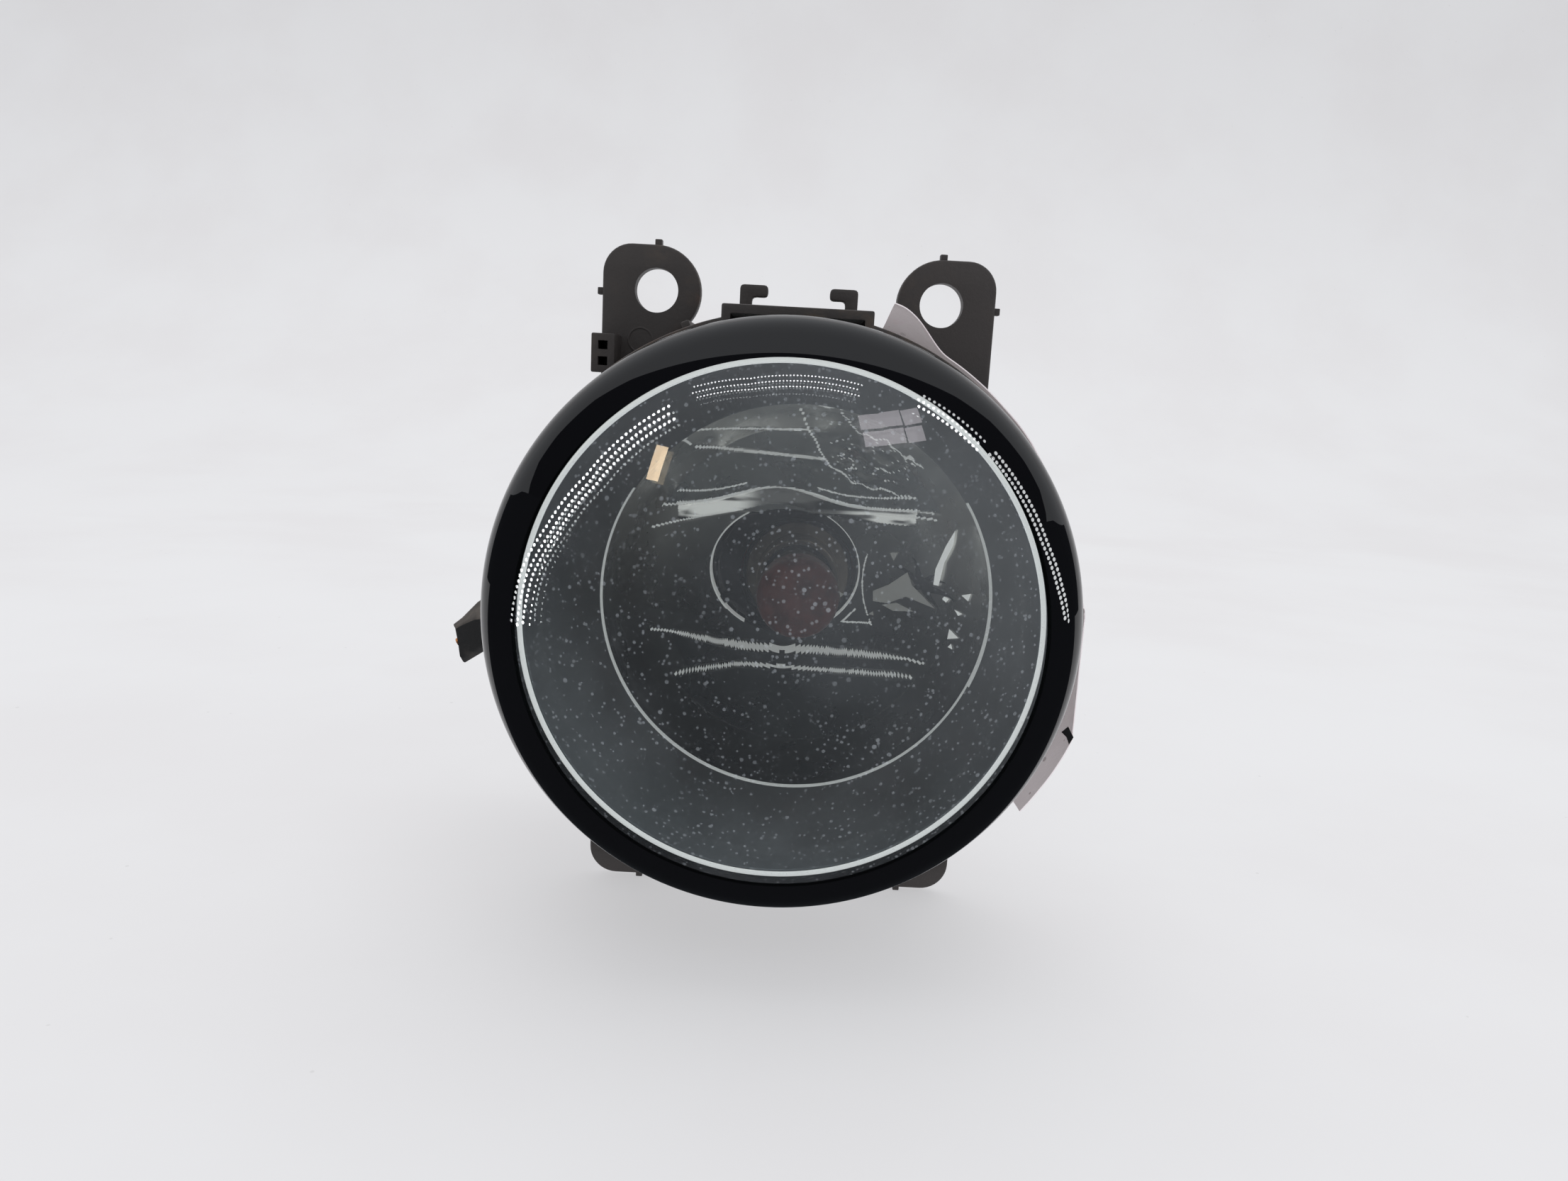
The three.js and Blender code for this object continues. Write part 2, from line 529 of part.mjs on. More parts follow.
// ---- harness plug -------------------------------------------------------------------------
// The plug's outline across its length, with its upper front edge cut away. Depth, then height.
function plugSection(x, middle, scale, chamfer) {
  const { halfHeight, front, rear, bevel } = PLUG;
  const centre = (front + rear) / 2;
  const outline = [[front, -halfHeight + bevel], [front + bevel, -halfHeight], [rear - bevel, -halfHeight],
    [rear, -halfHeight + bevel], [rear, halfHeight - bevel], [rear - bevel, halfHeight],
    [front + bevel + chamfer, halfHeight], [front, halfHeight - chamfer]];
  return outline.map(([depth, height]) => [x, centre + (depth - centre) * scale, middle + height * scale]);
}

function plugShell() {
  const depth = (SOCKET.front + SOCKET.back) / 2;
  const nose = box([PLUG.face - SINK, depth - PLUG.noseDepth, -PLUG.noseHeight],
    [PLUG.noseEnd, depth + PLUG.noseDepth, PLUG.noseHeight]);
  const body = loft([plugSection(PLUG.face, 0, 1, PLUG.chamfer), plugSection(PLUG.back, 0, 1, PLUG.chamfer)]);
  const gap = PLUG.slotGap;
  const slots = [1, -1].map((side) => box(
    [BLADE.to - PAST, depth - BLADE.halfThick - gap, side * BLADE.offset - BLADE.halfHeight - gap],
    [PLUG.noseEnd + PAST, depth + BLADE.halfThick + gap, side * BLADE.offset + BLADE.halfHeight + gap]));
  return slots.reduce((shape, slot) => shape.subtract(slot), nose.add(body));
}

function plugSeal() {
  const depth = (SOCKET.front + SOCKET.back) / 2;
  const layer = (grow, from, to) => box([from, depth - PLUG.noseDepth - grow, -PLUG.noseHeight - grow],
    [to, depth + PLUG.noseDepth + grow, PLUG.noseHeight + grow]);
  const outer = layer(TOUCH_GAP + PLUG_SEAL.wall, PLUG_SEAL.from, PLUG_SEAL.to);
  return outer.subtract(layer(TOUCH_GAP, PLUG_SEAL.from - PAST, PLUG_SEAL.to + PAST));
}

function plugLatch() {
  const { halfWidth, front, back, from, to, pivot, post, postHalfWidth, grip, gripProud } = LATCH;
  const lever = box([from, front, -halfWidth], [to, back, halfWidth]);
  const foot = box([pivot - post, PLUG.rear + TOUCH_GAP, -postHalfWidth],
    [pivot + post, front + SINK, postHalfWidth]);
  const ridge = box([from, back - SINK, -halfWidth], [from + grip, back + gripProud, halfWidth]);
  return lever.add(foot).add(ridge);
}

// The boot's bend: how far along, how far down, how large, and how deep its cut edge is.
const BOOT_SECTIONS = [[-51.9, 0, 1.04, 6.5], [-56, 0, 1, 6.5], [-60, -0.6, 0.86, 6], [-65, -2, 0.73, 3.5],
  [-69.9, -4.5, 0.62, 1]];

function wireBoot() {
  const body = loft(BOOT_SECTIONS.map((section) => plugSection(...section)));
  return [1, -1].reduce((shape, side) => shape.subtract(wirePlace(
    crossRod(WIRE.hole, -WIRE.holeDepth, 2 * PAST, 12), side)), body);
}

// Puts a short cross rod at one of the two wire outlets in the boot's end, pointing back along -X.
function wirePlace(body, side) {
  const [x, middle] = BOOT_SECTIONS.at(-1);
  const centre = (PLUG.front + PLUG.rear) / 2;
  const place = [x, centre + side * WIRE.offset, middle];
  return body.mirror([1, 0, 0]).rotate([0, -WIRE.droop, 0]).translate(place);
}

function wireStub(side) {
  const from = -WIRE.holeDepth + TOUCH_GAP;
  return wirePlace(crossRod(WIRE.radius, from, WIRE.length - WIRE.holeDepth, 12), side);
}

// ---- assembly -----------------------------------------------------------------------------
const fogLight = new THREE.Group();
fogLight.position.y = -RIM_TO_EARS;

const lampBody = new THREE.Group();
lampBody.add(named('lens', lens(), CLEAR));
lampBody.add(named('lens_seal', ring(SEAL.inner, SEAL.outer, SEAL.front, SEAL.back), RUBBER));
lampBody.add(named('reflector', reflector(), MIRROR));
lampBody.add(named('housing', housing(), BLACK_GLOSS));
lampBody.add(named('pivot_pin_right', pivotPin(1), ZINC));
lampBody.add(named('pivot_pin_left', pivotPin(-1), ZINC));
lampBody.add(named('vent_cap', ventCap(), RUBBER, { x: VENT.x, z: VENT.z }));
lampBody.add(named('adjuster_nut', adjusterNut(), NATURAL, { z: ADJUST.z }));

const bracketGroup = new THREE.Group();
bracketGroup.add(named('bracket', bracket(), BLACK_PLASTIC));
bracketGroup.add(named('pivot_bush_right', pivotBush(1), NATURAL));
bracketGroup.add(named('pivot_bush_left', pivotBush(-1), NATURAL));
bracketGroup.add(named('paper_label', paperLabel(), PAPER));

const adjuster = new THREE.Group();
adjuster.position.z = ADJUST.z;
adjuster.add(named('adjuster_screw', adjusterScrew(), ZINC));
adjuster.add(named('adjuster_retainer', adjusterRetainer(), ZINC));

const bulb = new THREE.Group();
bulb.position.set(BULB_AXIS.x, 0, BULB_AXIS.z);
bulb.add(named('bulb_glass', tubeWithNose(GLASS), CLEAR));
bulb.add(named('bulb_tip_cap', tubeWithNose(CAP), TIP));
bulb.add(named('bulb_filament', rod(FILAMENT.radius, FILAMENT.front, FILAMENT.back, 10), TUNGSTEN));
bulb.add(named('bulb_lead_short', shortLead(), TUNGSTEN));
bulb.add(named('bulb_lead_long', longLead(), TUNGSTEN));
bulb.add(named('bulb_sleeve', bulbSleeve(), ZINC));
bulb.add(named('bulb_base', bulbBase(), BLACK_PLASTIC));
bulb.add(named('bulb_seal_ring', oRing(), SILICONE));

const connector = new THREE.Group();
connector.rotation.y = THREE.MathUtils.degToRad(-CONNECTOR_DROP);
connector.add(named('terminal_upper', blade(1), TIN));
connector.add(named('terminal_lower', blade(-1), TIN));
connector.add(named('plug_shell', plugShell(), BLACK_PLASTIC));
connector.add(named('plug_seal', plugSeal(), SILICONE));
connector.add(named('plug_latch', plugLatch(), BLACK_PLASTIC));
connector.add(named('plug_boot', wireBoot(), RUBBER));
connector.add(named('wire_end_front', wireStub(-1), COPPER));
connector.add(named('wire_end_rear', wireStub(1), COPPER));
bulb.add(connector);

fogLight.add(lampBody, bracketGroup, adjuster, bulb);

export default fogLight;
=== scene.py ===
import math
import random

import bmesh
import bpy
from mathutils import Matrix, Vector, noise as field


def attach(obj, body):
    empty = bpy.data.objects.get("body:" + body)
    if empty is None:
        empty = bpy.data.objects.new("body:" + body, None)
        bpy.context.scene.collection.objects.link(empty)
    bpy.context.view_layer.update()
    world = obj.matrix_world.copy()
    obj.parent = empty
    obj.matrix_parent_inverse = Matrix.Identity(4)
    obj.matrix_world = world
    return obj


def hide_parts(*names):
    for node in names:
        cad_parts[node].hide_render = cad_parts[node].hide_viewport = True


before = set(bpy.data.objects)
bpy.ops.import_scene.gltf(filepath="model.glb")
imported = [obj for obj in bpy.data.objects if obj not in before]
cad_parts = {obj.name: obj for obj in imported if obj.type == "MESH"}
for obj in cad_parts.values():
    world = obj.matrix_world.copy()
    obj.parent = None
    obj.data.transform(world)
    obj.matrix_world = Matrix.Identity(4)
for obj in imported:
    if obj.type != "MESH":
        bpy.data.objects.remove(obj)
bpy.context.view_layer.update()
random.seed(7)

# ---- driving dimensions
MM = 0.001
RIM_RADIUS = 45.0
RIM_TO_EARS = 36.0
PLATE_BACK = 39.0
FLOOR_Z = -58.6
FINE = 200
MEDIUM = 64

LENS_APEX = -18.5
LENS_DOME = 80.0
LENS_ROLL = 6.0
LENS_THICK = 2.6
LENS_SKIRT = 3.5
CLEAR_ZONE = 38.4

LIP = 38.1
LIP_OUTER = 39.2
LIP_DEPTH = -4.5
BOWL_RADIUS = 31.0
BOWL_RIM = 11.5
BOWL_SPAN = 27.1
BOWL_CENTRE = (2.1, 1.4)
BOWL_HOLE = (0.2, 2.3, 13.4, 11.7)
NECK_DEPTH = 39.8
BULB_AXIS = (2.5, 0.8)

HOUSING_INSIDE = [(39.6, 5.5), (37.1, 13), (35.8, 20), (33.8, 28), (29.8, 35), (24, 40), (18, 42),
                  (0, 42)]
HOUSING_OUTSIDE = [(42, 4.9), (44.6, 4.9), (44.6, 7.4), (41.4, 7.4), (38.9, 13.2), (37.6, 20),
                   (35.6, 28.6), (31.4, 36.1), (25.2, 41.6), (19, 43.8), (0, 43.8)]
HOUSING_ROLL = 3.0
REFLECTOR_BACK = [(39.2, -3.4), (33.2, 10.2), (32.5, 15.2), (31.4, 20.5), (28.8, 28), (24.6, 34.5),
                  (18.6, 38.7)]
PIVOT_DEPTH = 22.0
BUSH_HOLE = 3.6
ADJUST_Z = 40.7
CAN_INNER = 44.3
CAN_OUTER = 46.3
CAN_FRONT = 10.5
CAN_OPENING = 34.0
RIB_ANGLES = (112, 150, 165, 200, 215, 248, 292)
HOLE_X = 24.65
HOLE_Z = 50.0
HOLE_RADIUS = 3.75
EAR_SIDE = 34.0
EAR_END = 57.6
EAR_CORNER = 5.0
EAR_LOBE = 7.7
BLOCK_HALF = 11.7
BLOCK_TOP = 46.9
BLOCK_LOW = 49.6
DROP = math.radians(13)
SOCKET_MIDDLE = 59.2


# ---- mesh helpers
def in_scene(name, data):
    """A new object made of a mesh, curve, light or camera."""
    thing = bpy.data.objects.new(name, data)
    bpy.context.collection.objects.link(thing)
    return thing


def full_turn(count):
    """Evenly spaced angles, all the way round."""
    return [2 * math.pi * i / count for i in range(count)]


def circle(radius, angles, centre=(0.0, 0.0)):
    """Points (x, z) at these angles round a centre."""
    return [(centre[0] + radius * math.cos(a), centre[1] + radius * math.sin(a)) for a in angles]


def arc(centre_r, centre_d, radius, start, end, steps):
    """Points (r, d) on an arc. The angle is 0 straight ahead and grows outwards."""
    turn = [start + (end - start) * i / steps for i in range(steps + 1)]
    return [(centre_r + radius * math.sin(a), centre_d - radius * math.cos(a)) for a in turn]


def rounded(points, radius, steps=3, closed=True):
    """The outline with each corner replaced by a short curve that starts `radius` before it."""
    result = []
    count = len(points)
    for i, point in enumerate(points):
        if not closed and i in (0, count - 1):
            result.append(point)
            continue
        corner = Vector(point)
        before = Vector(points[i - 1]) - corner
        after = Vector(points[(i + 1) % count]) - corner
        reach = min(radius, before.length * 0.45, after.length * 0.45)
        start = corner + before.normalized() * reach
        end = corner + after.normalized() * reach
        for k in range(steps + 1):
            t = k / steps
            spot = start * (1 - t) ** 2 + corner * 2 * t * (1 - t) + end * t ** 2
            result.append(tuple(spot))
    return result


def new_mesh(vertices, faces, weld=1e-4):
    """A welded mesh with its normals turned outwards."""
    mesh = bpy.data.meshes.new("shape")
    mesh.from_pydata(vertices, [], faces)
    return cleaned(mesh, weld)


def cleaned(mesh, weld=1e-4):
    work = bmesh.new()
    work.from_mesh(mesh)
    bmesh.ops.remove_doubles(work, verts=work.verts, dist=weld)
    bmesh.ops.recalc_face_normals(work, faces=work.faces)
    work.to_mesh(mesh)
    work.free()
    return mesh


def rings(rows, closed_rows=False, capped=False):
    """A skin over rows of points, each row a closed ring of the same count."""
    count = len(rows[0])
    vertices = [point for row in rows for point in row]
    faces = []
    last = len(rows) if closed_rows else len(rows) - 1
    for s in range(last):
        low = s * count
        high = ((s + 1) % len(rows)) * count
        for i in range(count):
            j = (i + 1) % count
            faces.append((low + i, low + j, high + j, high + i))
    if capped:
        faces.append(tuple(range(count)))
        faces.append(tuple(range((len(rows) - 1) * count, len(rows) * count)))
    return vertices, faces


def lathe(profile, segments=FINE, centre=(0.0, 0.0)):
    """(r, depth) points turned about the lamp's axis. A point at r 0 becomes a pole."""
    turn = full_turn(segments)
    rows = [[(x, d, z) for x, z in circle(r, turn, centre)] for r, d in profile]
    poles = profile[0][0] == 0 and profile[-1][0] == 0
    return new_mesh(*rings(rows, closed_rows=not poles))


def rod(radius, start, end, segments=MEDIUM, bevel=0.25, centre=(0.0, 0.0)):
    profile = rounded([(0, start), (radius, start), (radius, end), (0, end)], bevel, 2, closed=False)
    return lathe(profile, segments, centre)


def moved(mesh, x=0.0, d=0.0, z=0.0):
    mesh.transform(Matrix.Translation((x, d, z)))
    return mesh


def rolled(mesh, degrees):
    """Turned about the lamp's axis, from +X towards +Z."""
    mesh.transform(Matrix.Rotation(math.radians(-degrees), 4, "Y"))
    return mesh


def crosswise(mesh, side=1):
    """Lays a shape made along the lamp's axis along X instead, towards `side`."""
    mesh.transform(Matrix.Rotation(-side * math.pi / 2, 4, "Z"))
    return mesh


def slab(low, high, bevel=0.3):
    """A box with softened edges."""
    size = [b - a for a, b in zip(low, high)]
    middle = [(a + b) / 2 for a, b in zip(low, high)]
    work = bmesh.new()
    bmesh.ops.create_cube(work, size=1.0)
    bmesh.ops.scale(work, vec=size, verts=work.verts)
    bmesh.ops.translate(work, vec=middle, verts=work.verts)
    if bevel:
        bmesh.ops.bevel(work, geom=work.edges[:], offset=bevel, segments=2, affect="EDGES", profile=0.6)
    mesh = bpy.data.meshes.new("slab")
    work.to_mesh(mesh)
    work.free()
    return mesh


def plate(outline, front, back, bevel=0.3):
    """An outline in X and Z, made solid between two depths, with softened edges."""
    curve = bpy.data.curves.new("outline", "CURVE")
    curve.dimensions = "2D"
    curve.fill_mode = "BOTH"
    spline = curve.splines.new("POLY")
    spline.points.add(len(outline) - 1)
    for point, (x, z) in zip(spline.points, outline):
        point.co = (x, z, 0, 1)
    spline.use_cyclic_u = True
    curve.extrude = (back - front) / 2 - bevel
    curve.bevel_depth = bevel
    curve.bevel_resolution = 1
    curve.offset = -bevel
    holder = in_scene("outline", curve)
    depsgraph = bpy.context.evaluated_depsgraph_get()
    mesh = bpy.data.meshes.new_from_object(holder.evaluated_get(depsgraph))
    bpy.data.objects.remove(holder)
    mesh.transform(Matrix.Translation((0, (front + back) / 2, 0)) @ Matrix.Rotation(math.pi / 2, 4, "X"))
    return cleaned(mesh, 2e-3)


def combined(body, tools, operation):
    """The body joined with, or cut by, each tool in turn."""
    host = in_scene("host", body)
    helpers = []
    for tool in tools:
        helper = in_scene("tool", tool)
        helpers.append(helper)
        step = host.modifiers.new("step", "BOOLEAN")
        step.operation = operation
        step.solver = "MANIFOLD"
        step.object = helper
    depsgraph = bpy.context.evaluated_depsgraph_get()
    mesh = bpy.data.meshes.new_from_object(host.evaluated_get(depsgraph))
    for helper in helpers + [host]:
        bpy.data.objects.remove(helper)
    return mesh


def joined(body, tools):
    return combined(body, tools, "UNION")


def cut(body, tools):
    return combined(body, tools, "DIFFERENCE")


def together(meshes):
    """Separate shells gathered in one mesh."""
    work = bmesh.new()
    for mesh in meshes:
        work.from_mesh(mesh)
    result = bpy.data.meshes.new("together")
    work.to_mesh(result)
    work.free()
    return result


def piece(name, mesh, body, materials, replaces=(), sharp=35, indices=None):
    """Places a finished shape in the frame, on its body, with its material and its CAD nodes."""
    mesh.transform(Matrix.Scale(MM, 4) @ Matrix.Translation((0, -RIM_TO_EARS, 0)))
    mesh.materials.clear()
    for item in materials:
        mesh.materials.append(item)
    if indices is not None:
        for polygon in mesh.polygons:
            centre = polygon.center / MM + Vector((0, RIM_TO_EARS, 0))
            polygon.material_index = indices(centre, polygon.normal)
    mesh.shade_smooth()
    mesh.set_sharp_from_angle(angle=math.radians(sharp))
    thing = in_scene(name, mesh)
    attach(thing, body)
    if replaces:
        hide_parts(*replaces)


def smoothstep(value, low, high):
    t = min(1.0, max(0.0, (value - low) / (high - low)))
    return t * t * (3 - 2 * t)


# ---- material helpers
class Shader:
    """A material's node tree, with short names for the nodes used here."""

    def __init__(self, name):
        self.material = bpy.data.materials.new(name)
        self.material.use_nodes = True
        self.tree = self.material.node_tree
        self.tree.nodes.clear()
        self.output = self.tree.nodes.new("ShaderNodeOutputMaterial")
        place = self.tree.nodes.new("ShaderNodeTexCoord")
        self.place = place.outputs["Object"]

    def node(self, kind, **values):
        item = self.tree.nodes.new(kind)
        for key, value in values.items():
            item.inputs[key.replace("_", " ")].default_value = value
        return item

    def link(self, start, end):
        self.tree.links.new(start, end)

    def feed(self, socket, value):
        """Sets a socket to a number or a colour, or links another node's result to it."""
        if isinstance(value, (int, float)):
            socket.default_value = value
        elif isinstance(value, tuple):
            socket.default_value = (*value, 1)
        else:
            self.link(value, socket)

    def noise(self, scale, detail=3.0, roughness=0.55, stretch=None):
        item = self.node("ShaderNodeTexNoise", Scale=scale, Detail=detail, Roughness=roughness)
        source = self.mapped(Scale=stretch) if stretch else self.place
        self.link(source, item.inputs["Vector"])
        return item.outputs["Fac"]

    def mapped(self, **values):
        item = self.node("ShaderNodeMapping", **values)
        self.link(self.place, item.inputs["Vector"])
        return item.outputs["Vector"]

    def towards(self, direction):
        """How far a point lies in a direction, in metres."""
        item = self.tree.nodes.new("ShaderNodeVectorMath")
        item.operation = "DOT_PRODUCT"
        self.link(self.place, item.inputs[0])
        item.inputs[1].default_value = direction
        return item.outputs["Value"]

    def levels(self, source, low, high, start=0.0, end=1.0):
        """A smooth change from `start` to `end` as the source goes from `low` to `high`."""
        item = self.node("ShaderNodeMapRange", From_Min=low, From_Max=high, To_Min=start, To_Max=end)
        item.interpolation_type = "SMOOTHSTEP"
        self.link(source, item.inputs["Value"])
        return item.outputs["Result"]

    def maths(self, operation, first, second=0.0):
        item = self.tree.nodes.new("ShaderNodeMath")
        item.operation = operation
        self.feed(item.inputs[0], first)
        self.feed(item.inputs[1], second)
        return item.outputs["Value"]

    def blend(self, factor, first, second):
        """A colour between two others."""
        item = self.tree.nodes.new("ShaderNodeMix")
        item.data_type = "RGBA"
        self.link(factor, item.inputs["Factor"])
        self.feed(item.inputs[6], first)
        self.feed(item.inputs[7], second)
        return item.outputs[2]

    def bump(self, height, distance, target):
        item = self.node("ShaderNodeBump", Strength=1.0, Distance=distance)
        self.link(height, item.inputs["Height"])
        self.link(item.outputs["Normal"], target)

    def principled(self, colour, metallic, roughness):
        return self.node("ShaderNodeBsdfPrincipled", Base_Color=(*colour, 1), Metallic=metallic,
                         Roughness=roughness)

    def mixed(self, factor, first, second):
        """One surface laid over another."""
        item = self.tree.nodes.new("ShaderNodeMixShader")
        self.feed(item.inputs["Fac"], factor)
        self.link(first.outputs[0], item.inputs[1])
        self.link(second.outputs[0], item.inputs[2])
        return item

    def finish(self, surface):
        self.link(surface.outputs[0], self.output.inputs["Surface"])
        return self.material


def specks(shader, scale, size, share, layer=0.0):
    """Small round spots of mixed size, in `share` of the cells."""
    cells = shader.node("ShaderNodeTexVoronoi", Scale=scale)
    shader.link(shader.mapped(Location=(layer, layer, layer)), cells.inputs["Vector"])
    parts = shader.tree.nodes.new("ShaderNodeSeparateColor")
    shader.link(cells.outputs["Color"], parts.inputs["Color"])
    chosen = shader.maths("LESS_THAN", parts.outputs["Red"], share)
    reach = shader.maths("MULTIPLY", parts.outputs["Green"], size)
    spot = shader.maths("SUBTRACT", reach, cells.outputs["Distance"])
    soft = shader.levels(spot, 0.0, size * 0.35)
    return shader.maths("MULTIPLY", soft, chosen)


# ---- materials
def glass_surface(shader, tint, gloss, straight):
    """Thin clear sheet: seen through straight on, and mirror-like at a glancing angle."""
    clear = shader.node("ShaderNodeBsdfTransparent", Color=(*tint, 1))
    shine = shader.node("ShaderNodeBsdfGlossy", Color=(1, 1, 1, 1), Roughness=gloss)
    facing = shader.node("ShaderNodeLayerWeight", Blend=0.5).outputs["Facing"]
    steep = shader.maths("POWER", facing, 4.0)
    amount = shader.levels(steep, 0.0, 1.0, straight, 0.95)
    return shader.mixed(amount, clear, shine)


def clean_glass():
    shader = Shader("clean_glass")
    return shader.finish(glass_surface(shader, (0.86, 0.88, 0.88), 0.0, 0.05))


def dusty_glass():
    """The weathered outside of the dome: a thin haze, fine grit and pale specks."""
    shader = Shader("dusty_glass")
    bare = glass_surface(shader, (0.88, 0.9, 0.9), 0.0, 0.17)
    dirt = shader.node("ShaderNodeBsdfDiffuse", Color=(0.86, 0.9, 0.94, 1), Roughness=0.8)
    haze = shader.levels(shader.noise(38.0, 4.0), 0.35, 0.72, 0.016, 0.048)
    upper = shader.levels(shader.towards((0.75, 0.0, 0.8)), -0.026, 0.045, 0.0, 0.06)
    grit = shader.levels(shader.noise(2600.0, 2.0), 0.6, 0.78, 0.0, 0.07)
    large = shader.maths("MULTIPLY", specks(shader, 520.0, 0.23, 0.6), 0.15)
    middling = shader.maths("MULTIPLY", specks(shader, 760.0, 0.3, 0.75, 6.0), 0.11)
    small = shader.maths("MULTIPLY", specks(shader, 1250.0, 0.4, 0.95, 3.0), 0.12)
    drifts = shader.levels(shader.noise(60.0, 2.0), 0.3, 0.62, 0.4, 1.3)
    largest = shader.maths("MAXIMUM", small, shader.maths("MAXIMUM", large, middling))
    spots = shader.maths("MULTIPLY", largest, drifts)
    veil = shader.maths("ADD", haze, upper)
    cover = shader.maths("ADD", veil, shader.maths("MAXIMUM", grit, spots))
    return shader.finish(shader.mixed(cover, bare, dirt))


def edge_black():
    """The rolled rim of the lens: gloss black, for clear plastic with the black housing behind it."""
    shader = Shader("lens_edge_black")
    rim = shader.principled((0.004, 0.004, 0.005), 0.0, 0.012)
    return shader.finish(rim)


def edge_grey():
    """The outermost skirt of the lens, which lets a little of the light behind it through."""
    shader = Shader("lens_edge_grey")
    rim = shader.principled((0.014, 0.016, 0.016), 0.0, 0.1)
    clear = shader.node("ShaderNodeBsdfTransparent", Color=(0.55, 0.6, 0.57, 1))
    return shader.finish(shader.mixed(0.14, rim, clear))


def bulb_glass_material():
    shader = Shader("bulb_glass_clear")
    return shader.finish(glass_surface(shader, (0.9, 0.9, 0.9), 0.02, 0.06))


def aluminium(name, colour, roughness, spread=0.05):
    """Vacuum-coated metal, with slight changes in sheen."""
    shader = Shader(name)
    metal = shader.principled(colour, 1.0, roughness)
    patchy = shader.levels(shader.noise(120.0), 0.3, 0.7, roughness - spread, roughness + spread)
    shader.link(patchy, metal.inputs["Roughness"])
    return shader.finish(metal)


def bowl_metal():
    """The bowl's coating, with painted shade: dark low down, brighter towards the top."""
    shader = Shader("bowl_metal")
    metal = shader.principled((0.4, 0.4, 0.39), 0.85, 0.3)
    # Painted shade: the coat darkens low down and lightens towards the top.
    height = shader.levels(shader.towards((0.0, 0.0, 1.0)), -0.012, 0.022)
    tone = shader.blend(height, (0.17, 0.17, 0.17), (0.8, 0.79, 0.76))
    shader.link(tone, metal.inputs["Base Color"])
    sheen = shader.levels(shader.noise(120.0), 0.3, 0.7, 0.24, 0.36)
    shader.link(sheen, metal.inputs["Roughness"])
    return shader.finish(metal)


def painted_glow_finish(name, colour, glow_strength):
    """A coated edge with painted light: it glows, so it looks lit from every side."""
    shader = Shader(name)
    coat = shader.principled(colour, 0.25, 0.35)
    # Painted light: the emission makes the coat glow.
    coat.inputs["Emission Color"].default_value = (*colour, 1)
    coat.inputs["Emission Strength"].default_value = glow_strength
    return shader.finish(coat)


def band_painted_streaks():
    """The band over the bulb: dark metal with painted highlights, bright glowing streaks mostly near its
    two ends.
    """
    shader = Shader("band_metal")
    dark = shader.principled((0.16, 0.155, 0.15), 0.8, 0.3)
    bright = shader.principled((0.95, 0.95, 0.92), 0.25, 0.3)
    # Painted highlight: the streaks glow.
    bright.inputs["Emission Color"].default_value = (0.95, 0.94, 0.9, 1)
    bright.inputs["Emission Strength"].default_value = 0.45
    painted_streaks = shader.levels(shader.noise(170.0, 2.0, 0.5, (0.3, 1.0, 2.4)), 0.44, 0.56)
    off_middle = shader.maths("ABSOLUTE", shader.maths("ADD", shader.towards((1.0, 0.0, 0.0)), -0.002))
    ends = shader.levels(off_middle, 0.006, 0.011, 0.12, 1.0)
    painted_streaks = shader.maths("MULTIPLY", painted_streaks, ends)
    return shader.finish(shader.mixed(painted_streaks, dark, bright))


def gloss_black():
    """Polished black plastic with a little dust."""
    shader = Shader("gloss_black")
    plastic = shader.principled((0.008, 0.009, 0.010), 0.0, 0.12)
    dust = shader.levels(shader.noise(900.0, 5.0), 0.5, 0.85, 0.1, 0.32)
    shader.link(dust, plastic.inputs["Roughness"])
    return shader.finish(plastic)


def moulded_black(name, dirt_amount, roughness=0.55):
    """Matt black plastic with brown road dirt that lies in drifts, and a fine grain."""
    shader = Shader(name)
    plastic = shader.principled((0.052, 0.045, 0.043), 0.0, roughness)
    broad = shader.levels(shader.noise(42.0, 5.0, 0.62, (1.0, 1.0, 0.45)), 0.44, 0.7)
    fine = shader.levels(shader.noise(420.0, 4.0), 0.35, 0.68)
    drift = shader.maths("MULTIPLY", shader.maths("MULTIPLY", broad, fine), dirt_amount)
    rusty = shader.levels(shader.noise(85.0, 3.0), 0.56, 0.7)
    soil = shader.blend(rusty, (0.1, 0.072, 0.052), (0.2, 0.085, 0.04))
    shader.link(shader.blend(drift, (0.052, 0.045, 0.043), soil), plastic.inputs["Base Color"])
    shader.link(shader.levels(drift, 0.0, 1.0, roughness, 0.9), plastic.inputs["Roughness"])
    shader.bump(shader.noise(1500.0, 2.0), 0.00006, plastic.inputs["Normal"])
    return shader.finish(plastic)


def rubber():
    shader = Shader("rubber")
    soft = shader.principled((0.018, 0.018, 0.019), 0.0, 0.75)
    dusty = shader.levels(shader.noise(160.0, 4.0), 0.5, 0.75)
    tone = shader.blend(dusty, (0.016, 0.016, 0.017), (0.06, 0.052, 0.046))
    shader.link(tone, soft.inputs["Base Color"])
    shader.bump(shader.noise(1200.0, 3.0), 0.00008, soft.inputs["Normal"])
    return shader.finish(soft)


def boot_top_painted_light():
    """The boot's upper faces, lighter and brown-grey: painted light from above."""
    shader = Shader("boot_top_painted_light")
    # Painted light: the upper faces are lighter and brown-grey, as if lit from above.
    painted_lit_face = shader.principled((0.11, 0.09, 0.075), 0.0, 0.7)
    worn = shader.levels(shader.noise(260.0, 5.0), 0.36, 0.72)
    tone = shader.blend(worn, (0.1, 0.085, 0.073), (0.055, 0.048, 0.043))
    shader.link(tone, painted_lit_face.inputs["Base Color"])
    shader.bump(shader.noise(900.0, 3.0), 0.0001, painted_lit_face.inputs["Normal"])
    return shader.finish(painted_lit_face)


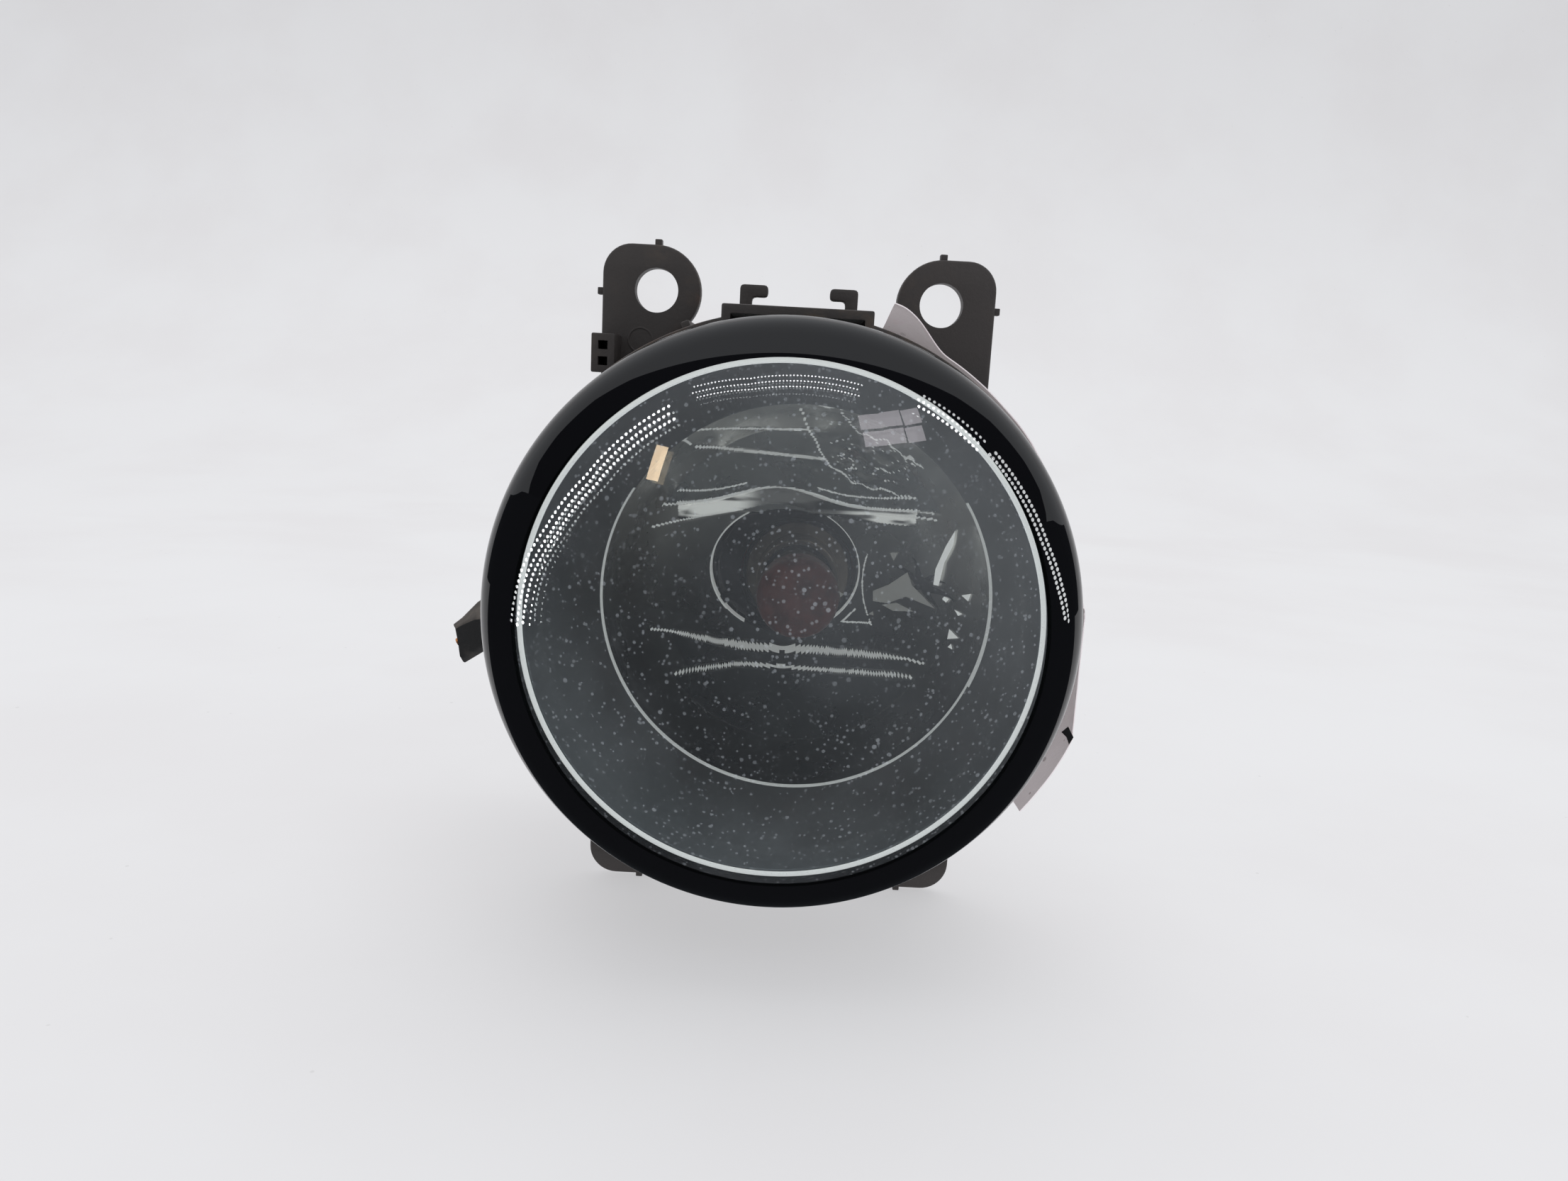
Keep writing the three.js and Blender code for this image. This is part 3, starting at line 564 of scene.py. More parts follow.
def plain(name, colour, metallic, roughness, variation=0.0, grain=0.0):
    """One finish with slight changes in tone and an optional fine grain."""
    shader = Shader(name)
    surface = shader.principled(colour, metallic, roughness)
    if variation:
        darker = tuple(value * (1 - variation) for value in colour)
        tone = shader.levels(shader.noise(240.0, 4.0), 0.35, 0.7)
        shader.link(shader.blend(tone, colour, darker), surface.inputs["Base Color"])
    if grain:
        shader.bump(shader.noise(1400.0, 2.0), grain, surface.inputs["Normal"])
    return shader.finish(surface)


def paper():
    """Pinkish-white label paper with brown dirt specks and faint creases."""
    shader = Shader("paper")
    sheet = shader.principled((0.72, 0.62, 0.65), 0.0, 0.85)
    # Painted light: the paper glows a little, to brighten it.
    sheet.inputs["Emission Color"].default_value = (0.95, 0.88, 0.9, 1)
    sheet.inputs["Emission Strength"].default_value = 0.2
    stained = shader.levels(shader.noise(95.0, 4.0), 0.5, 0.78)
    tone = shader.blend(stained, (0.93, 0.85, 0.87), (0.7, 0.58, 0.6))
    spots = specks(shader, 420.0, 0.3, 0.22)
    shader.link(shader.blend(spots, tone, (0.07, 0.035, 0.03)), sheet.inputs["Base Color"])
    shader.bump(shader.noise(300.0, 3.0), 0.0002, sheet.inputs["Normal"])
    return shader.finish(sheet)


def floor_material():
    """White painted board with faint smears and tiny dark marks. A little glow keeps shadows soft."""
    shader = Shader("floor_paint")
    paint = shader.principled((0.36, 0.36, 0.36), 0.0, 0.55)
    paint.inputs["Specular IOR Level"].default_value = 0.0
    clouds = shader.levels(shader.noise(7.0, 5.0), 0.35, 0.7)
    tone = shader.blend(clouds, (0.36, 0.36, 0.365), (0.335, 0.328, 0.332))
    marks = shader.maths("MULTIPLY", specks(shader, 150.0, 0.09, 0.3), 0.4)
    shader.link(shader.blend(marks, tone, (0.12, 0.115, 0.11)), paint.inputs["Base Color"])
    paint.inputs["Emission Color"].default_value = (0.99, 0.985, 1.0, 1)
    # Painted light: the floor's glow lifts the lamp's shadows, and fades higher up the wall as painted
    # shade.
    strength = shader.levels(shader.towards((0.0, 0.0, 1.0)), -0.05, 0.5, 0.47, 0.38)
    shader.link(strength, paint.inputs["Emission Strength"])
    return shader.finish(paint)


def glow(name, colour, strength):
    shader = Shader(name)
    light = shader.node("ShaderNodeEmission", Color=(*colour, 1), Strength=strength)
    return shader.finish(light)


GLASS_CLEAN = clean_glass()
GLASS_DUSTY = dusty_glass()
GLASS_BULB = bulb_glass_material()
EDGE_BLACK = edge_black()
EDGE_GREY = edge_grey()
BOWL_METAL = bowl_metal()
CONE_METAL = aluminium("cone_metal", (0.42, 0.44, 0.46), 0.4, 0.06)
# Painted highlights: the glowing white lines on the reflector's edges, creases, folds and facet.
EDGE_PAINTED_HIGHLIGHT = painted_glow_finish("edge_painted_highlight", (0.93, 0.93, 0.91), 0.34)
# Painted highlight: the glowing white ring round the reflector's lip.
RIM_PAINTED_HIGHLIGHT = painted_glow_finish("rim_painted_highlight", (0.98, 0.98, 0.97), 0.75)
BAND_METAL = band_painted_streaks()
SCORCHED = plain("scorched", (0.012, 0.012, 0.013), 0.0, 0.4)
# The torn skin's grey, with a little painted light from its glow.
FLAKED_WITH_GLOW = painted_glow_finish("flaked_metal_glow", (0.62, 0.6, 0.56), 0.12)
# Painted glints: the glowing white of the bright scraps.
GLEAM_PAINTED_GLINT = painted_glow_finish("metal_painted_glint", (0.95, 0.95, 0.93), 0.55)
GLOSS_BLACK = gloss_black()
BRACKET_BLACK = moulded_black("bracket_black", 0.9)
PLUG_BLACK = moulded_black("plug_black", 0.45, 0.35)
RUBBER = rubber()
BOOT_TOP_PAINTED_LIGHT = boot_top_painted_light()
SILICONE = plain("silicone", (0.33, 0.05, 0.025), 0.0, 0.55, 0.3)
NATURAL = plain("natural_nylon", (0.68, 0.65, 0.55), 0.0, 0.45, 0.15)
ZINC = plain("zinc", (0.62, 0.62, 0.6), 1.0, 0.34, 0.35, 0.00003)
TUNGSTEN = plain("tungsten", (0.3, 0.3, 0.31), 1.0, 0.35)
COPPER = plain("copper", (0.72, 0.3, 0.12), 1.0, 0.35, 0.4)
TIN = plain("tinned", (0.7, 0.68, 0.63), 1.0, 0.3, 0.2)
TIP_PAINT = plain("tip_paint", (0.16, 0.035, 0.026), 0.0, 0.42, 0.5)
BEIGE_METAL = plain("sleeve_metal", (0.34, 0.28, 0.22), 0.8, 0.42, 0.3)
PAPER = paper()


# ---- lens
def dome_arcs(inset, dome_steps, roll_steps):
    """A sphere that rolls over into the skirt, `inset` below the lens's surface."""
    roll_centre = RIM_RADIUS - LENS_ROLL
    meet = math.asin(roll_centre / (LENS_DOME - LENS_ROLL))
    sphere = LENS_APEX + LENS_DOME
    roll_depth = sphere - (LENS_DOME - LENS_ROLL) * math.cos(meet)
    dome = arc(0, sphere, LENS_DOME - inset, 0, meet, dome_steps)
    roll = arc(roll_centre, roll_depth, LENS_ROLL - inset, meet, math.pi / 2, roll_steps)
    return dome, roll


def lens_mesh():
    dome, roll = dome_arcs(0.0, 60, 24)
    inner_dome, inner_roll = dome_arcs(LENS_THICK, 40, 14)
    inside = RIM_RADIUS - LENS_THICK
    corners = [roll[-1], (RIM_RADIUS, LENS_SKIRT), (inside, LENS_SKIRT), inner_roll[-1]]
    lip = rounded(corners, 0.4, 3, closed=False)
    profile = dome + roll[1:-1] + lip + inner_roll[-2::-1] + inner_dome[-2::-1]
    return lathe(profile)


def lens_zone(centre, normal):
    """0 the weathered outer dome, 1 clean glass, 2 the rolled rim, 3 its outermost edge."""
    radius = math.hypot(centre.x, centre.z)
    outward = normal.x * centre.x + normal.z * centre.z > 0
    if radius > LIP_OUTER and outward:
        return 3 if radius > RIM_RADIUS - 0.25 else 2
    height = centre.y - (LENS_APEX + LENS_DOME - math.sqrt(LENS_DOME ** 2 - min(radius, 60) ** 2))
    return 0 if radius < CLEAR_ZONE and height < LENS_THICK / 2 else 1


# ---- reflector
def crease(value, line, soft):
    """How far a point lies past a line, from 0 to 1 over the width `soft`."""
    return smoothstep(value - line, -soft / 2, soft / 2)


def along(points, x):
    """Height of a broken line at x."""
    for (x0, z0), (x1, z1) in zip(points, points[1:]):
        if x <= x1:
            return z0 + (z1 - z0) * (x - x0) / (x1 - x0)
    return points[-1][1]


MIDDLE_STEP = 32.0
UPPER_STEP = 26.5
LOWER_STEP = 30.0
BOTTOM_STEP = 26.5
ARCH_BASE = 14.0
ARCH_BUMP = (3.4, -1.6, 9.0)
UPPER_EDGE = [(-40, 7.3), (-28.5, 9), (-9, 12.8), (23, 13.8), (40, 14.3)]
LOWER_BAND = [(-40, -19.8), (-23, -16.6), (-7, -13.5), (20, -14), (40, -14.5)]


def arch(x):
    height, middle, width = ARCH_BUMP
    return ARCH_BASE + 0.024 * (x + 19) + height * math.exp(-((x - middle) / width) ** 2)


def lower_edge(x):
    rise = 5.1 * ((-x - 3.7) / 24.3) ** 1.5 if x < -3.7 else 0.0
    return -11.5 + rise


def bowl_depth(x, z):
    """Depth of the bowl's inside: a deep dish with flat steps above and below the bulb."""
    depth = dish(x, z)
    middle_floor = MIDDLE_STEP - 0.06 * (x + 20)
    upper_floor = UPPER_STEP - 0.05 * x
    lower_floor = LOWER_STEP + 0.1 * (z + 12)
    bottom_floor = BOTTOM_STEP + 0.08 * (z + 14)
    depth = lowered(depth, middle_floor, crease(z, along(UPPER_EDGE, x), 0.7))
    depth = lowered(depth, upper_floor, crease(z, arch(x), 0.8))
    depth = lowered(depth, lower_floor, crease(-z, -lower_edge(x), 0.7))
    depth = lowered(depth, bottom_floor, crease(-z, -along(LOWER_BAND, x), 0.8))
    return depth + slot_depth(x, z) + crumple(x, z)


def lowered(depth, floor, share):
    """Brings the depth forward to `floor`, where the bowl is deeper than it."""
    return depth if depth <= floor else depth + (floor - depth) * share


def slot_depth(x, z):
    """The long recess in the upper step, pointed at its left end."""
    low, high = slot_lines(x)
    inside = crease(z, low, 0.6) * crease(-z, -high, 0.6) * crease(x, -18, 1.0)
    return 1.3 * inside * (1 - smoothstep(x, 4, 12))


def crumple(x, z):
    """Heat-blistered skin in the bowl's upper right, and soft waves elsewhere."""
    centre = math.exp(-(((x - 11) / 9.5) ** 2 + ((z - 25) / 7.0) ** 2))
    wave = field.noise(Vector((x * 0.26, z * 0.4 + 0.12 * x, 3.0)))
    fold = 1 - abs(field.noise(Vector((x * 0.17 + 5.0, z * 0.3, 8.0)))) * 2
    calm = 0.1 * field.noise(Vector((x * 0.12, z * 0.12, 1.0)))
    return centre * (1.1 * wave + 0.9 * fold) + calm


def bowl_rows(columns, steps):
    """Rings of points from the bowl's rim to the bulb opening."""
    hole_x, hole_z, hole_a, hole_b = BOWL_HOLE
    rows = []
    for k in range(steps + 1):
        share = k / steps
        row = []
        for angle in full_turn(columns):
            c, s = math.cos(angle), math.sin(angle)
            x = (1 - share) * (BOWL_CENTRE[0] + BOWL_RADIUS * c) + share * (hole_x + hole_a * c)
            z = (1 - share) * (BOWL_CENTRE[1] + BOWL_RADIUS * s) + share * (hole_z + hole_b * s)
            row.append((x, bowl_depth(x, z), z))
        rows.append(row)
    return rows


def shifted_ring(radius, depth, columns):
    """A ring of the cone, whose centre slides sideways from the lip's to the bowl's."""
    share = min(1.0, max(0.0, (depth - LIP_DEPTH) / (BOWL_RIM - LIP_DEPTH)))
    centre = (BOWL_CENTRE[0] * share, BOWL_CENTRE[1] * share)
    return [(x, depth, z) for x, z in circle(radius, full_turn(columns), centre)]


def reflector_mesh():
    columns, steps = 400, 120
    lip = rounded([(LIP_OUTER, -3.4), (LIP_OUTER, LIP_DEPTH), (LIP, LIP_DEPTH), (BOWL_RADIUS + 1.1, 9.2)],
                  0.35, 3, closed=False)
    cone = [shifted_ring(r, d, columns) for r, d in lip]
    fillet = [shifted_ring(r, d, columns) for r, d in
              [(BOWL_RADIUS + 0.75, 9.9), (BOWL_RADIUS + 0.5, 10.4), (BOWL_RADIUS + 0.25, 10.85)]]
    front = bowl_rows(columns, steps)
    hole_x, hole_z, hole_a, hole_b = BOWL_HOLE
    around = circle(1, full_turn(columns))
    neck = [(hole_x + hole_a * x, NECK_DEPTH, hole_z + hole_b * z) for x, z in around]
    back = [shifted_ring(r, d, columns) for r, d in REFLECTOR_BACK[::-1]]
    vertices, faces = rings(cone + fillet + front + [neck] + back[:-1], closed_rows=True)
    return new_mesh(vertices, faces)


def reflector_zone(centre, _normal):
    """0 bowl, 1 cone, 2 painted highlights on edges, 3 the white rim's painted highlight, 4 the band over
    the bulb with painted highlight streaks.
    """
    x, depth, z = centre
    radius = math.hypot(x, z)
    from_bowl = math.hypot(x - BOWL_CENTRE[0], z - BOWL_CENTRE[1])
    if depth < LIP_DEPTH + 0.5:
        return 3 if abs(radius - 38.6) < 0.42 else 1
    # Painted highlight along the bowl's rim.
    if BOWL_RADIUS - 0.05 < from_bowl < BOWL_RADIUS + 0.3 and depth > 9.3 and z < 13 + 0.2 * abs(x):
        return 2
    if from_bowl >= BOWL_RADIUS:
        return 1
    if on_crease(x, z) or near_hole(x, z) or on_slot(x, z) or on_fold(x, z) or on_facet(x, z):
        return 2
    return 4 if -19 < x < 22.5 and arch(x) - 3.0 < z < arch(x) + 0.6 else 0


def dish(x, z):
    """Depth of the bowl without its steps."""
    radius = math.hypot(x - BOWL_CENTRE[0], z - BOWL_CENTRE[1])
    return BOWL_RIM + BOWL_SPAN * math.sqrt(1 - min(1.0, radius / BOWL_RADIUS) ** 2.6)


def on_crease(x, z):
    """True where a step's edge turns; a painted highlight line goes there."""
    if dish(x, z) < 27:
        return False
    lines = [crease(z, along(UPPER_EDGE, x), 0.5), crease(z, arch(x), 0.6),
             crease(-z, -lower_edge(x), 0.5), crease(-z, -along(LOWER_BAND, x), 0.4)]
    return any(0.08 < share < 0.92 for share in lines) or on_arch(x, z - arch(x))


def on_arch(x, above):
    """The arch's front edge as a painted highlight, thicker towards its ends, with a fainter painted line
    over it.
    """
    thick = 0.3 + 0.45 * abs(math.sin(0.16 * x + 0.2))
    second = abs(x + 1) > 6 and abs(above - 1.5 - 0.05 * abs(x)) < 0.14
    return -19 < x < 22 and (0 < above < thick or second)


def slot_lines(x):
    """Heights of the slot's lower and upper edges."""
    return 24.4 - 1.2 * (x + 18) / 24, 27.4 + 0.5 * max(0.0, x + 18) / 20


# Painted highlight lines along the slot's edges and its bent left end.
def on_slot(x, z):
    low, high = slot_lines(x)
    along_sides = -16 < x < 6 and (abs(z - low) < 0.2 or (abs(z - high) < 0.17 and x < 3))
    bent = -16 - 0.9 * math.sqrt(max(0.0, 1 - ((z - 25.8) / 1.7) ** 2))
    return along_sides or (abs(x - bent) < 0.25 and low < z < high)


FOLD_LOW = [(-5, 32.5), (0.5, 33), (2.5, 29), (6, 23), (11, 19.5), (21, 17.5)]
FOLD_HIGH = [(3, 33), (8, 31.5), (11, 28), (16, 26.5), (22, 23)]


def on_fold(x, z):
    """Painted highlights on the sharp crests of the blistered skin."""
    steep = 2.2 if x < 6 else 1.0
    low, high = along(FOLD_LOW, x), along(FOLD_HIGH, x)
    ragged = 0.5 * field.noise(Vector((x * 0.5, z * 0.5, 4.0)))
    if 1 < x < 21 and abs(z - low + ragged) < 0.13 * steep:
        return True
    if 4 < x < 22 and abs(z - high + 2 * ragged) < 0.13 * steep:
        return True
    line = field.noise(Vector((x * 0.2 + 5.0, z * 0.34 - 0.1 * x, 8.0)))
    return 6 < x < 21 and low < z < high and abs(line) < 0.009


def on_facet(x, z):
    """Painted highlights: the small bright facet right of the bulb, and the thin line that runs up from
    it.
    """
    level, left, right, peak = -6.8, 11.0, 16.3, -4.2
    bowed = 14.3 + 0.03 * (z - 1.5) ** 2
    upright = abs(x - bowed) < 0.12 and level < z < 6 and field.noise(Vector((2.0, z * 0.45, 6.0))) > -0.2
    base = abs(z - level - 0.06 * (x - left)) < 0.16 and left + 0.3 < x < right
    slope = abs((x - left) - (z - level) * 0.95) < 0.2 and level < z < peak
    return upright or base or slope


# Painted highlights on the sides of the bulb opening.
def near_hole(x, z):
    hole_x, hole_z, hole_a, hole_b = BOWL_HOLE
    near = math.hypot((x - hole_x) / (hole_a + 0.22), (z - hole_z) / (hole_b + 0.22)) < 1
    return near and abs(x - hole_x) > 7


def flake(outline, lift):
    """A loose scrap of the bowl's metal skin, standing a little off it."""
    front = [(x, bowl_depth(x, z) - lift, z) for x, z in outline]
    back = [(x, bowl_depth(x, z) - lift + 0.15, z) for x, z in outline]
    return new_mesh(*rings([front, back], capped=True))


def chip(x, z, size, sides, spin):
    """The corners of a small scrap with uneven sides."""
    turns = [spin + 2 * math.pi * k / sides for k in range(sides)]
    reaches = [size * random.uniform(0.55, 1.25) for _ in turns]
    return [circle(reach, [turn], (x, z))[0] for reach, turn in zip(reaches, turns)]


def crack(x, z, angle, length, width):
    """A dark tapering split in the skin, from a blister's centre outwards."""
    steps = 7
    left, right = [], []
    for k in range(steps + 1):
        share = k / steps
        bend = angle + 0.25 * math.sin(3.1 * share + angle)
        px = x + length * share * math.cos(bend)
        pz = z + length * share * math.sin(bend)
        half = width * (1 - share) / 2 + 0.04
        left.append((px - half * math.sin(bend), pz + half * math.cos(bend)))
        right.append((px + half * math.sin(bend), pz - half * math.cos(bend)))
    outline = left + right[::-1]
    front = [(px, bowl_depth(px, pz) - 0.12, pz) for px, pz in outline]
    back = [(px, bowl_depth(px, pz) + 0.1, pz) for px, pz in outline]
    return new_mesh(*rings([front, back], capped=True))


def bowl_damage():
    """The burst blister on the bowl's right: dark splits, dull torn skin with a faint painted glow, and
    scraps with painted glints.
    """
    splits = [crack(25.0, 1.6, math.radians(a), length, width)
              for a, length, width in ((25, 3.6, 1.5), (70, 3.0, 1.2), (128, 5.4, 1.6), (160, 6.0, 1.5),
                                       (215, 3.4, 1.3), (290, 4.4, 1.5), (335, 4.8, 1.6))]
    torn = [(16.4, -2.4), (16.3, -0.6), (19, 0.9), (22, 3.6), (22.9, 1.4), (26.8, -1.9), (22, -0.8),
            (18.9, -2.5)]
    low_tear = [(18, -2.9), (20.5, -2.2), (23.4, -3.2), (20, -3.7)]
    dull = [flake(torn, 0.5), flake(low_tear, 0.4)]
    dull += [flake(chip(x, z, size, 3, spin), 0.4) for x, z, size, spin in
             ((19.4, 6.4, 1.1, 0.6), (10.7, -1.8, 0.7, 0.2), (16.4, -4.7, 0.7, 1.3))]
    crescent = [(28.4, 12.8), (28.5, 10), (27.6, 6.5), (27.1, 2.2), (26.3, 2.2), (26.4, 5), (27.5, 9.5)]
    gleaming = [flake(crescent, 0.5)]
    gleaming += [flake(chip(x, z, size, sides, spin), 0.5) for x, z, size, sides, spin in
                 ((28.2, 0.2, 0.7, 4, 0.3), (31.0, 1.6, 0.9, 3, 1.0), (29.4, -5.4, 0.9, 3, 2.0),
                  (30.2, -1.6, 0.6, 3, 0.4), (29.2, -7.4, 0.5, 3, 1.4))]
    return together(splits), together(dull), together(gleaming)


# ---- housing
def housing_shell():
    _, roll = dome_arcs(LENS_ROLL - HOUSING_ROLL, 4, 14)
    outside = rounded(HOUSING_OUTSIDE, 0.35, 2, closed=False)
    inside = rounded([(39.6, roll[0][1])] + HOUSING_INSIDE, 0.5, 2, closed=False)
    return lathe(roll + outside + inside[::-1])


def housing_mesh():
    centre = BULB_AXIS
    hub = lathe(rounded([(0, 41), (15.1, 41), (15.1, 52), (0, 52)], 0.5, 3, closed=False), 96, centre)
    bosses = [moved(crosswise(rod(4.6, 33, 42.6), side), d=PIVOT_DEPTH) for side in (1, -1)]
    lug = slab((-4.8, 18.7, 33), (4.8, 25.2, 45), 0.6)
    vent = rod(3.0, 41, 46.5, 32, centre=(14, -17))
    ribs = [moved(rolled(slab((14, 38, -0.8), (26, 47, 0.8), 0.3), a), x=centre[0], z=centre[1])
            for a in (20, 160, 200, 340)]
    solid = joined(housing_shell(), [hub, *bosses, lug, vent, *ribs])
    bores = [rod(10.6, 40, 47, 96, 0, centre), rod(13.1, 46, 53, 96, 0, centre),
             rod(3.45, 17, 27, 32, 0, (0, ADJUST_Z)), rod(1.6, 36, 48, 24, 0, (14, -17))]
    pins = [moved(crosswise(rod(2.3, 38.3, 44, 32, 0), side), d=PIVOT_DEPTH) for side in (1, -1)]
    return cut(solid, bores + pins)


# ---- bracket
def ear_outline(flip_x=1, flip_z=1):
    """A square outer corner and a round inner lobe, in the quarter picked by the flips."""
    quarter = [math.pi / 2 * k / 10 for k in range(11)]
    corner = circle(EAR_CORNER, quarter, (EAR_SIDE - EAR_CORNER, EAR_END - EAR_CORNER))
    inward = [math.radians(90 + 155 * k / 22) for k in range(23)]
    lobe = circle(EAR_LOBE, inward, (HOLE_X, EAR_END - EAR_LOBE))
    outline = [(EAR_SIDE, 30.0)] + corner + lobe + [(21.5, 35.0), (21.5, 30.0)]
    outline = [(x * flip_x, z * flip_z) for x, z in outline]
    return outline if flip_x * flip_z > 0 else outline[::-1]


def ear(flip_x, flip_z):
    body = plate(ear_outline(flip_x, flip_z), RIM_TO_EARS, PLATE_BACK, 0.45)
    side = slab((33.2, 37, 48.9), (35.0, 39, 50.1), 0.15)
    top = slab((HOLE_X - 0.6, 37, 57), (HOLE_X + 0.6, 39, 58.6), 0.15)
    nubs = [side, top]
    for nub in nubs:
        nub.transform(Matrix.Diagonal((flip_x, 1, flip_z, 1)))
        cleaned(nub)
    return joined(body, nubs)


def hook(side):
    corners = [(7.7, 45.9), (9.7, 45.9), (9.7, 51), (5.1, 51), (5.1, 49.1), (7.7, 49.1)]
    outline = [(side * x, z) for x, z in corners]
    outline = rounded(outline if side > 0 else outline[::-1], 0.7, 3)
    return plate(outline, 25.4, 28, 0.25)


def block(sign, end):
    low, high = sorted((sign * 43, sign * end))
    return slab((-BLOCK_HALF, CAN_FRONT, low), (BLOCK_HALF, 28, high), 0.35)


def block_room(sign, end):
    low, high = sorted((sign * 42, sign * (end - 1.4)))
    return slab((-BLOCK_HALF + 1.4, CAN_FRONT - 1, low), (BLOCK_HALF - 1.4, 26.6, high), 0.25)


def side_pocket():
    shell = slab((-34.6, 29, 35.6), (-30.6, PLATE_BACK, 42.1), 0.3)
    lower = slab((-33.4, 28, 36.8), (-31.8, 37, 38.25), 0)
    upper = slab((-33.4, 28, 39.45), (-31.8, 37, 40.9), 0)
    return cut(shell, [lower, upper])


def bracket_mesh():
    can = lathe(rounded([(CAN_INNER, CAN_FRONT), (CAN_OUTER, CAN_FRONT), (CAN_OUTER, PLATE_BACK),
                         (CAN_OPENING, PLATE_BACK), (CAN_OPENING, RIM_TO_EARS), (CAN_INNER, RIM_TO_EARS)],
                        0.4, 2))
    ears = [ear(fx, fz) for fx in (1, -1) for fz in (1, -1)]
    ribs = [rolled(slab((45.3, 17, -0.7), (47.7, 36.1, 0.7), 0.3), a) for a in RIB_ANGLES]
    solid = joined(can, ears + [block(1, BLOCK_TOP), block(-1, BLOCK_LOW), side_pocket()] + ribs)
    bores = [moved(rod(HOLE_RADIUS, 35, 40, 64, 0), x=fx * HOLE_X, z=fz * HOLE_Z)
             for fx in (1, -1) for fz in (1, -1)]
    across = moved(crosswise(rod(BUSH_HOLE, -50, 50, 48, 0)), d=PIVOT_DEPTH)
    screw = rod(2.5, 35, 40, 32, 0, (0, ADJUST_Z))
    window = slab((-5.5, 28, ADJUST_Z), (5.5, 36, 47.5), 0)
    notch = slab((-5.5, 25, ADJUST_Z), (5.5, 28.1, 45.5), 0)
    cavity = rod(CAN_INNER, 9.5, RIM_TO_EARS, FINE, 0)
    opening = rod(CAN_OPENING, 35, 40, FINE, 0)
    rooms = [block_room(1, BLOCK_TOP), block_room(-1, BLOCK_LOW)]
    body = cut(solid, [cavity, opening, *rooms, *bores, across, screw, window, notch])
    return joined(body, [hook(1), hook(-1)])


def ejector_mark():
    """The round witness of a mould pin on the upper left ear."""
    mark = lathe(rounded([(1.9, 35.9), (2.25, 35.9), (2.25, 36.4), (1.9, 36.4)], 0.08, 1), 40)
    return moved(mark, x=-27.2, z=41.5)


# ---- label
def label_point(degrees, depth, lift):
    """The paper hugs the can, stands off it low down and turns up at its upper end."""
    low = smoothstep(-degrees, -28.0, 20.0)
    high = smoothstep(degrees, 60.0, 72.0)
    front = smoothstep(21.0 - depth, 0.0, 9.0)
    wave = 0.28 * field.noise(Vector((degrees * 0.09, depth * 0.22, 2.0)))
    angle = math.radians(degrees)
    stand_off = 5.6 * low * low * (0.75 + 0.25 * front)
    radius = 46.85 + stand_off + 3.6 * high * front + max(0.0, wave)
    radius = min(radius, 48.7 / max(0.3, math.cos(angle))) + lift
    return (radius * math.cos(angle), depth, radius * math.sin(angle))


def label_mesh():
    columns, rows = 150, 12

    def edge(degrees, depth):
        ragged = 0.35 * field.noise(Vector((degrees * 0.2, depth, 5.0)))
        return depth + ragged * (1 if depth < 16 else -1) * 0.5 + 0.2

    outer, inner = [], []
    for i in range(columns + 1):
        degrees = -38 + 111 * i / columns
        front = edge(degrees, 11.8)
        back = edge(degrees, 21.0)
        depths = [front + (back - front) * k / rows for k in range(rows + 1)]
        outer.append([label_point(degrees, d, 0.16) for d in depths])
        inner.append([label_point(degrees, d, 0.0) for d in depths])
    loops = [a + b[::-1] for a, b in zip(outer, inner)]
    return new_mesh(*rings(loops, capped=True))


def label_scrap():
    """A torn dark chip of dirt on the label's free edge."""
    outline = [(46.9, -18.2), (47.9, -17.2), (48.9, -18.9), (48.3, -20.2), (47.8, -19.0)]
    return plate(outline[::-1], 11.5, 12.0, 0.08)


# ---- bulb
def nosed_tube(radius, wall, front, back, nose):
    outer = [(r * radius, front + nose + d * nose) for r, d in arc(0, 0, 1, 0, math.pi / 2, 14)]
    inner = [(r * (1 - wall / radius), d + wall) for r, d in outer]
    profile = outer + [(radius, back), (radius - wall, back)] + inner[::-1]
    return lathe(profile, 96, BULB_AXIS)


def sleeve_mesh():
    corners = [(6.4, 35), (7.4, 35), (7.4, 43), (9.6, 43), (9.6, 44.2), (6.4, 44.2)]
    return lathe(rounded(corners, 0.3, 3), 96, BULB_AXIS)


def base_tab(degrees):
    half = math.radians(17)
    outer = circle(12.6, [half * (k / 6 - 1) for k in range(13)])
    outline = circle(8.0, [-half]) + outer + circle(8.0, [half])
    return rolled(plate(outline, 47, 49.2, 0.25), degrees)


def dropped(mesh):
    """From the connector's own axes, along -X, to its place on the base."""
    mesh.transform(Matrix.Rotation(-DROP, 4, "Y"))
    return mesh


def base_mesh():
    core = rod(9.4, 44.6, 52.5, 96)
    collar = rod(10.2, 44.6, 47, 96, 0.3)
    disc = lathe(rounded([(0, 52.4), (14.5, 52.4), (14.5, 55), (0, 55)], 0.5, 3, closed=False), 96)
    arm = dropped(slab((-26, 52.4, -8.2), (8, 66, 8.2), 0.9))
    grips = [dropped(slab((-2, 65.5, z - 0.5), (6.5, 65.95, z + 0.5), 0.12)) for z in (-4, 0, 4)]
    body = joined(core, [collar, disc, arm, *[base_tab(a) for a in (90, 210, 330)], *grips])
    room = dropped(slab((-27, 54.1, -6.5), (-14, 64.3, 6.5), 0.3))
    return moved(cut(body, [room, rod(5, 43.6, 46.6, 48, 0)]), x=BULB_AXIS[0], z=BULB_AXIS[1])


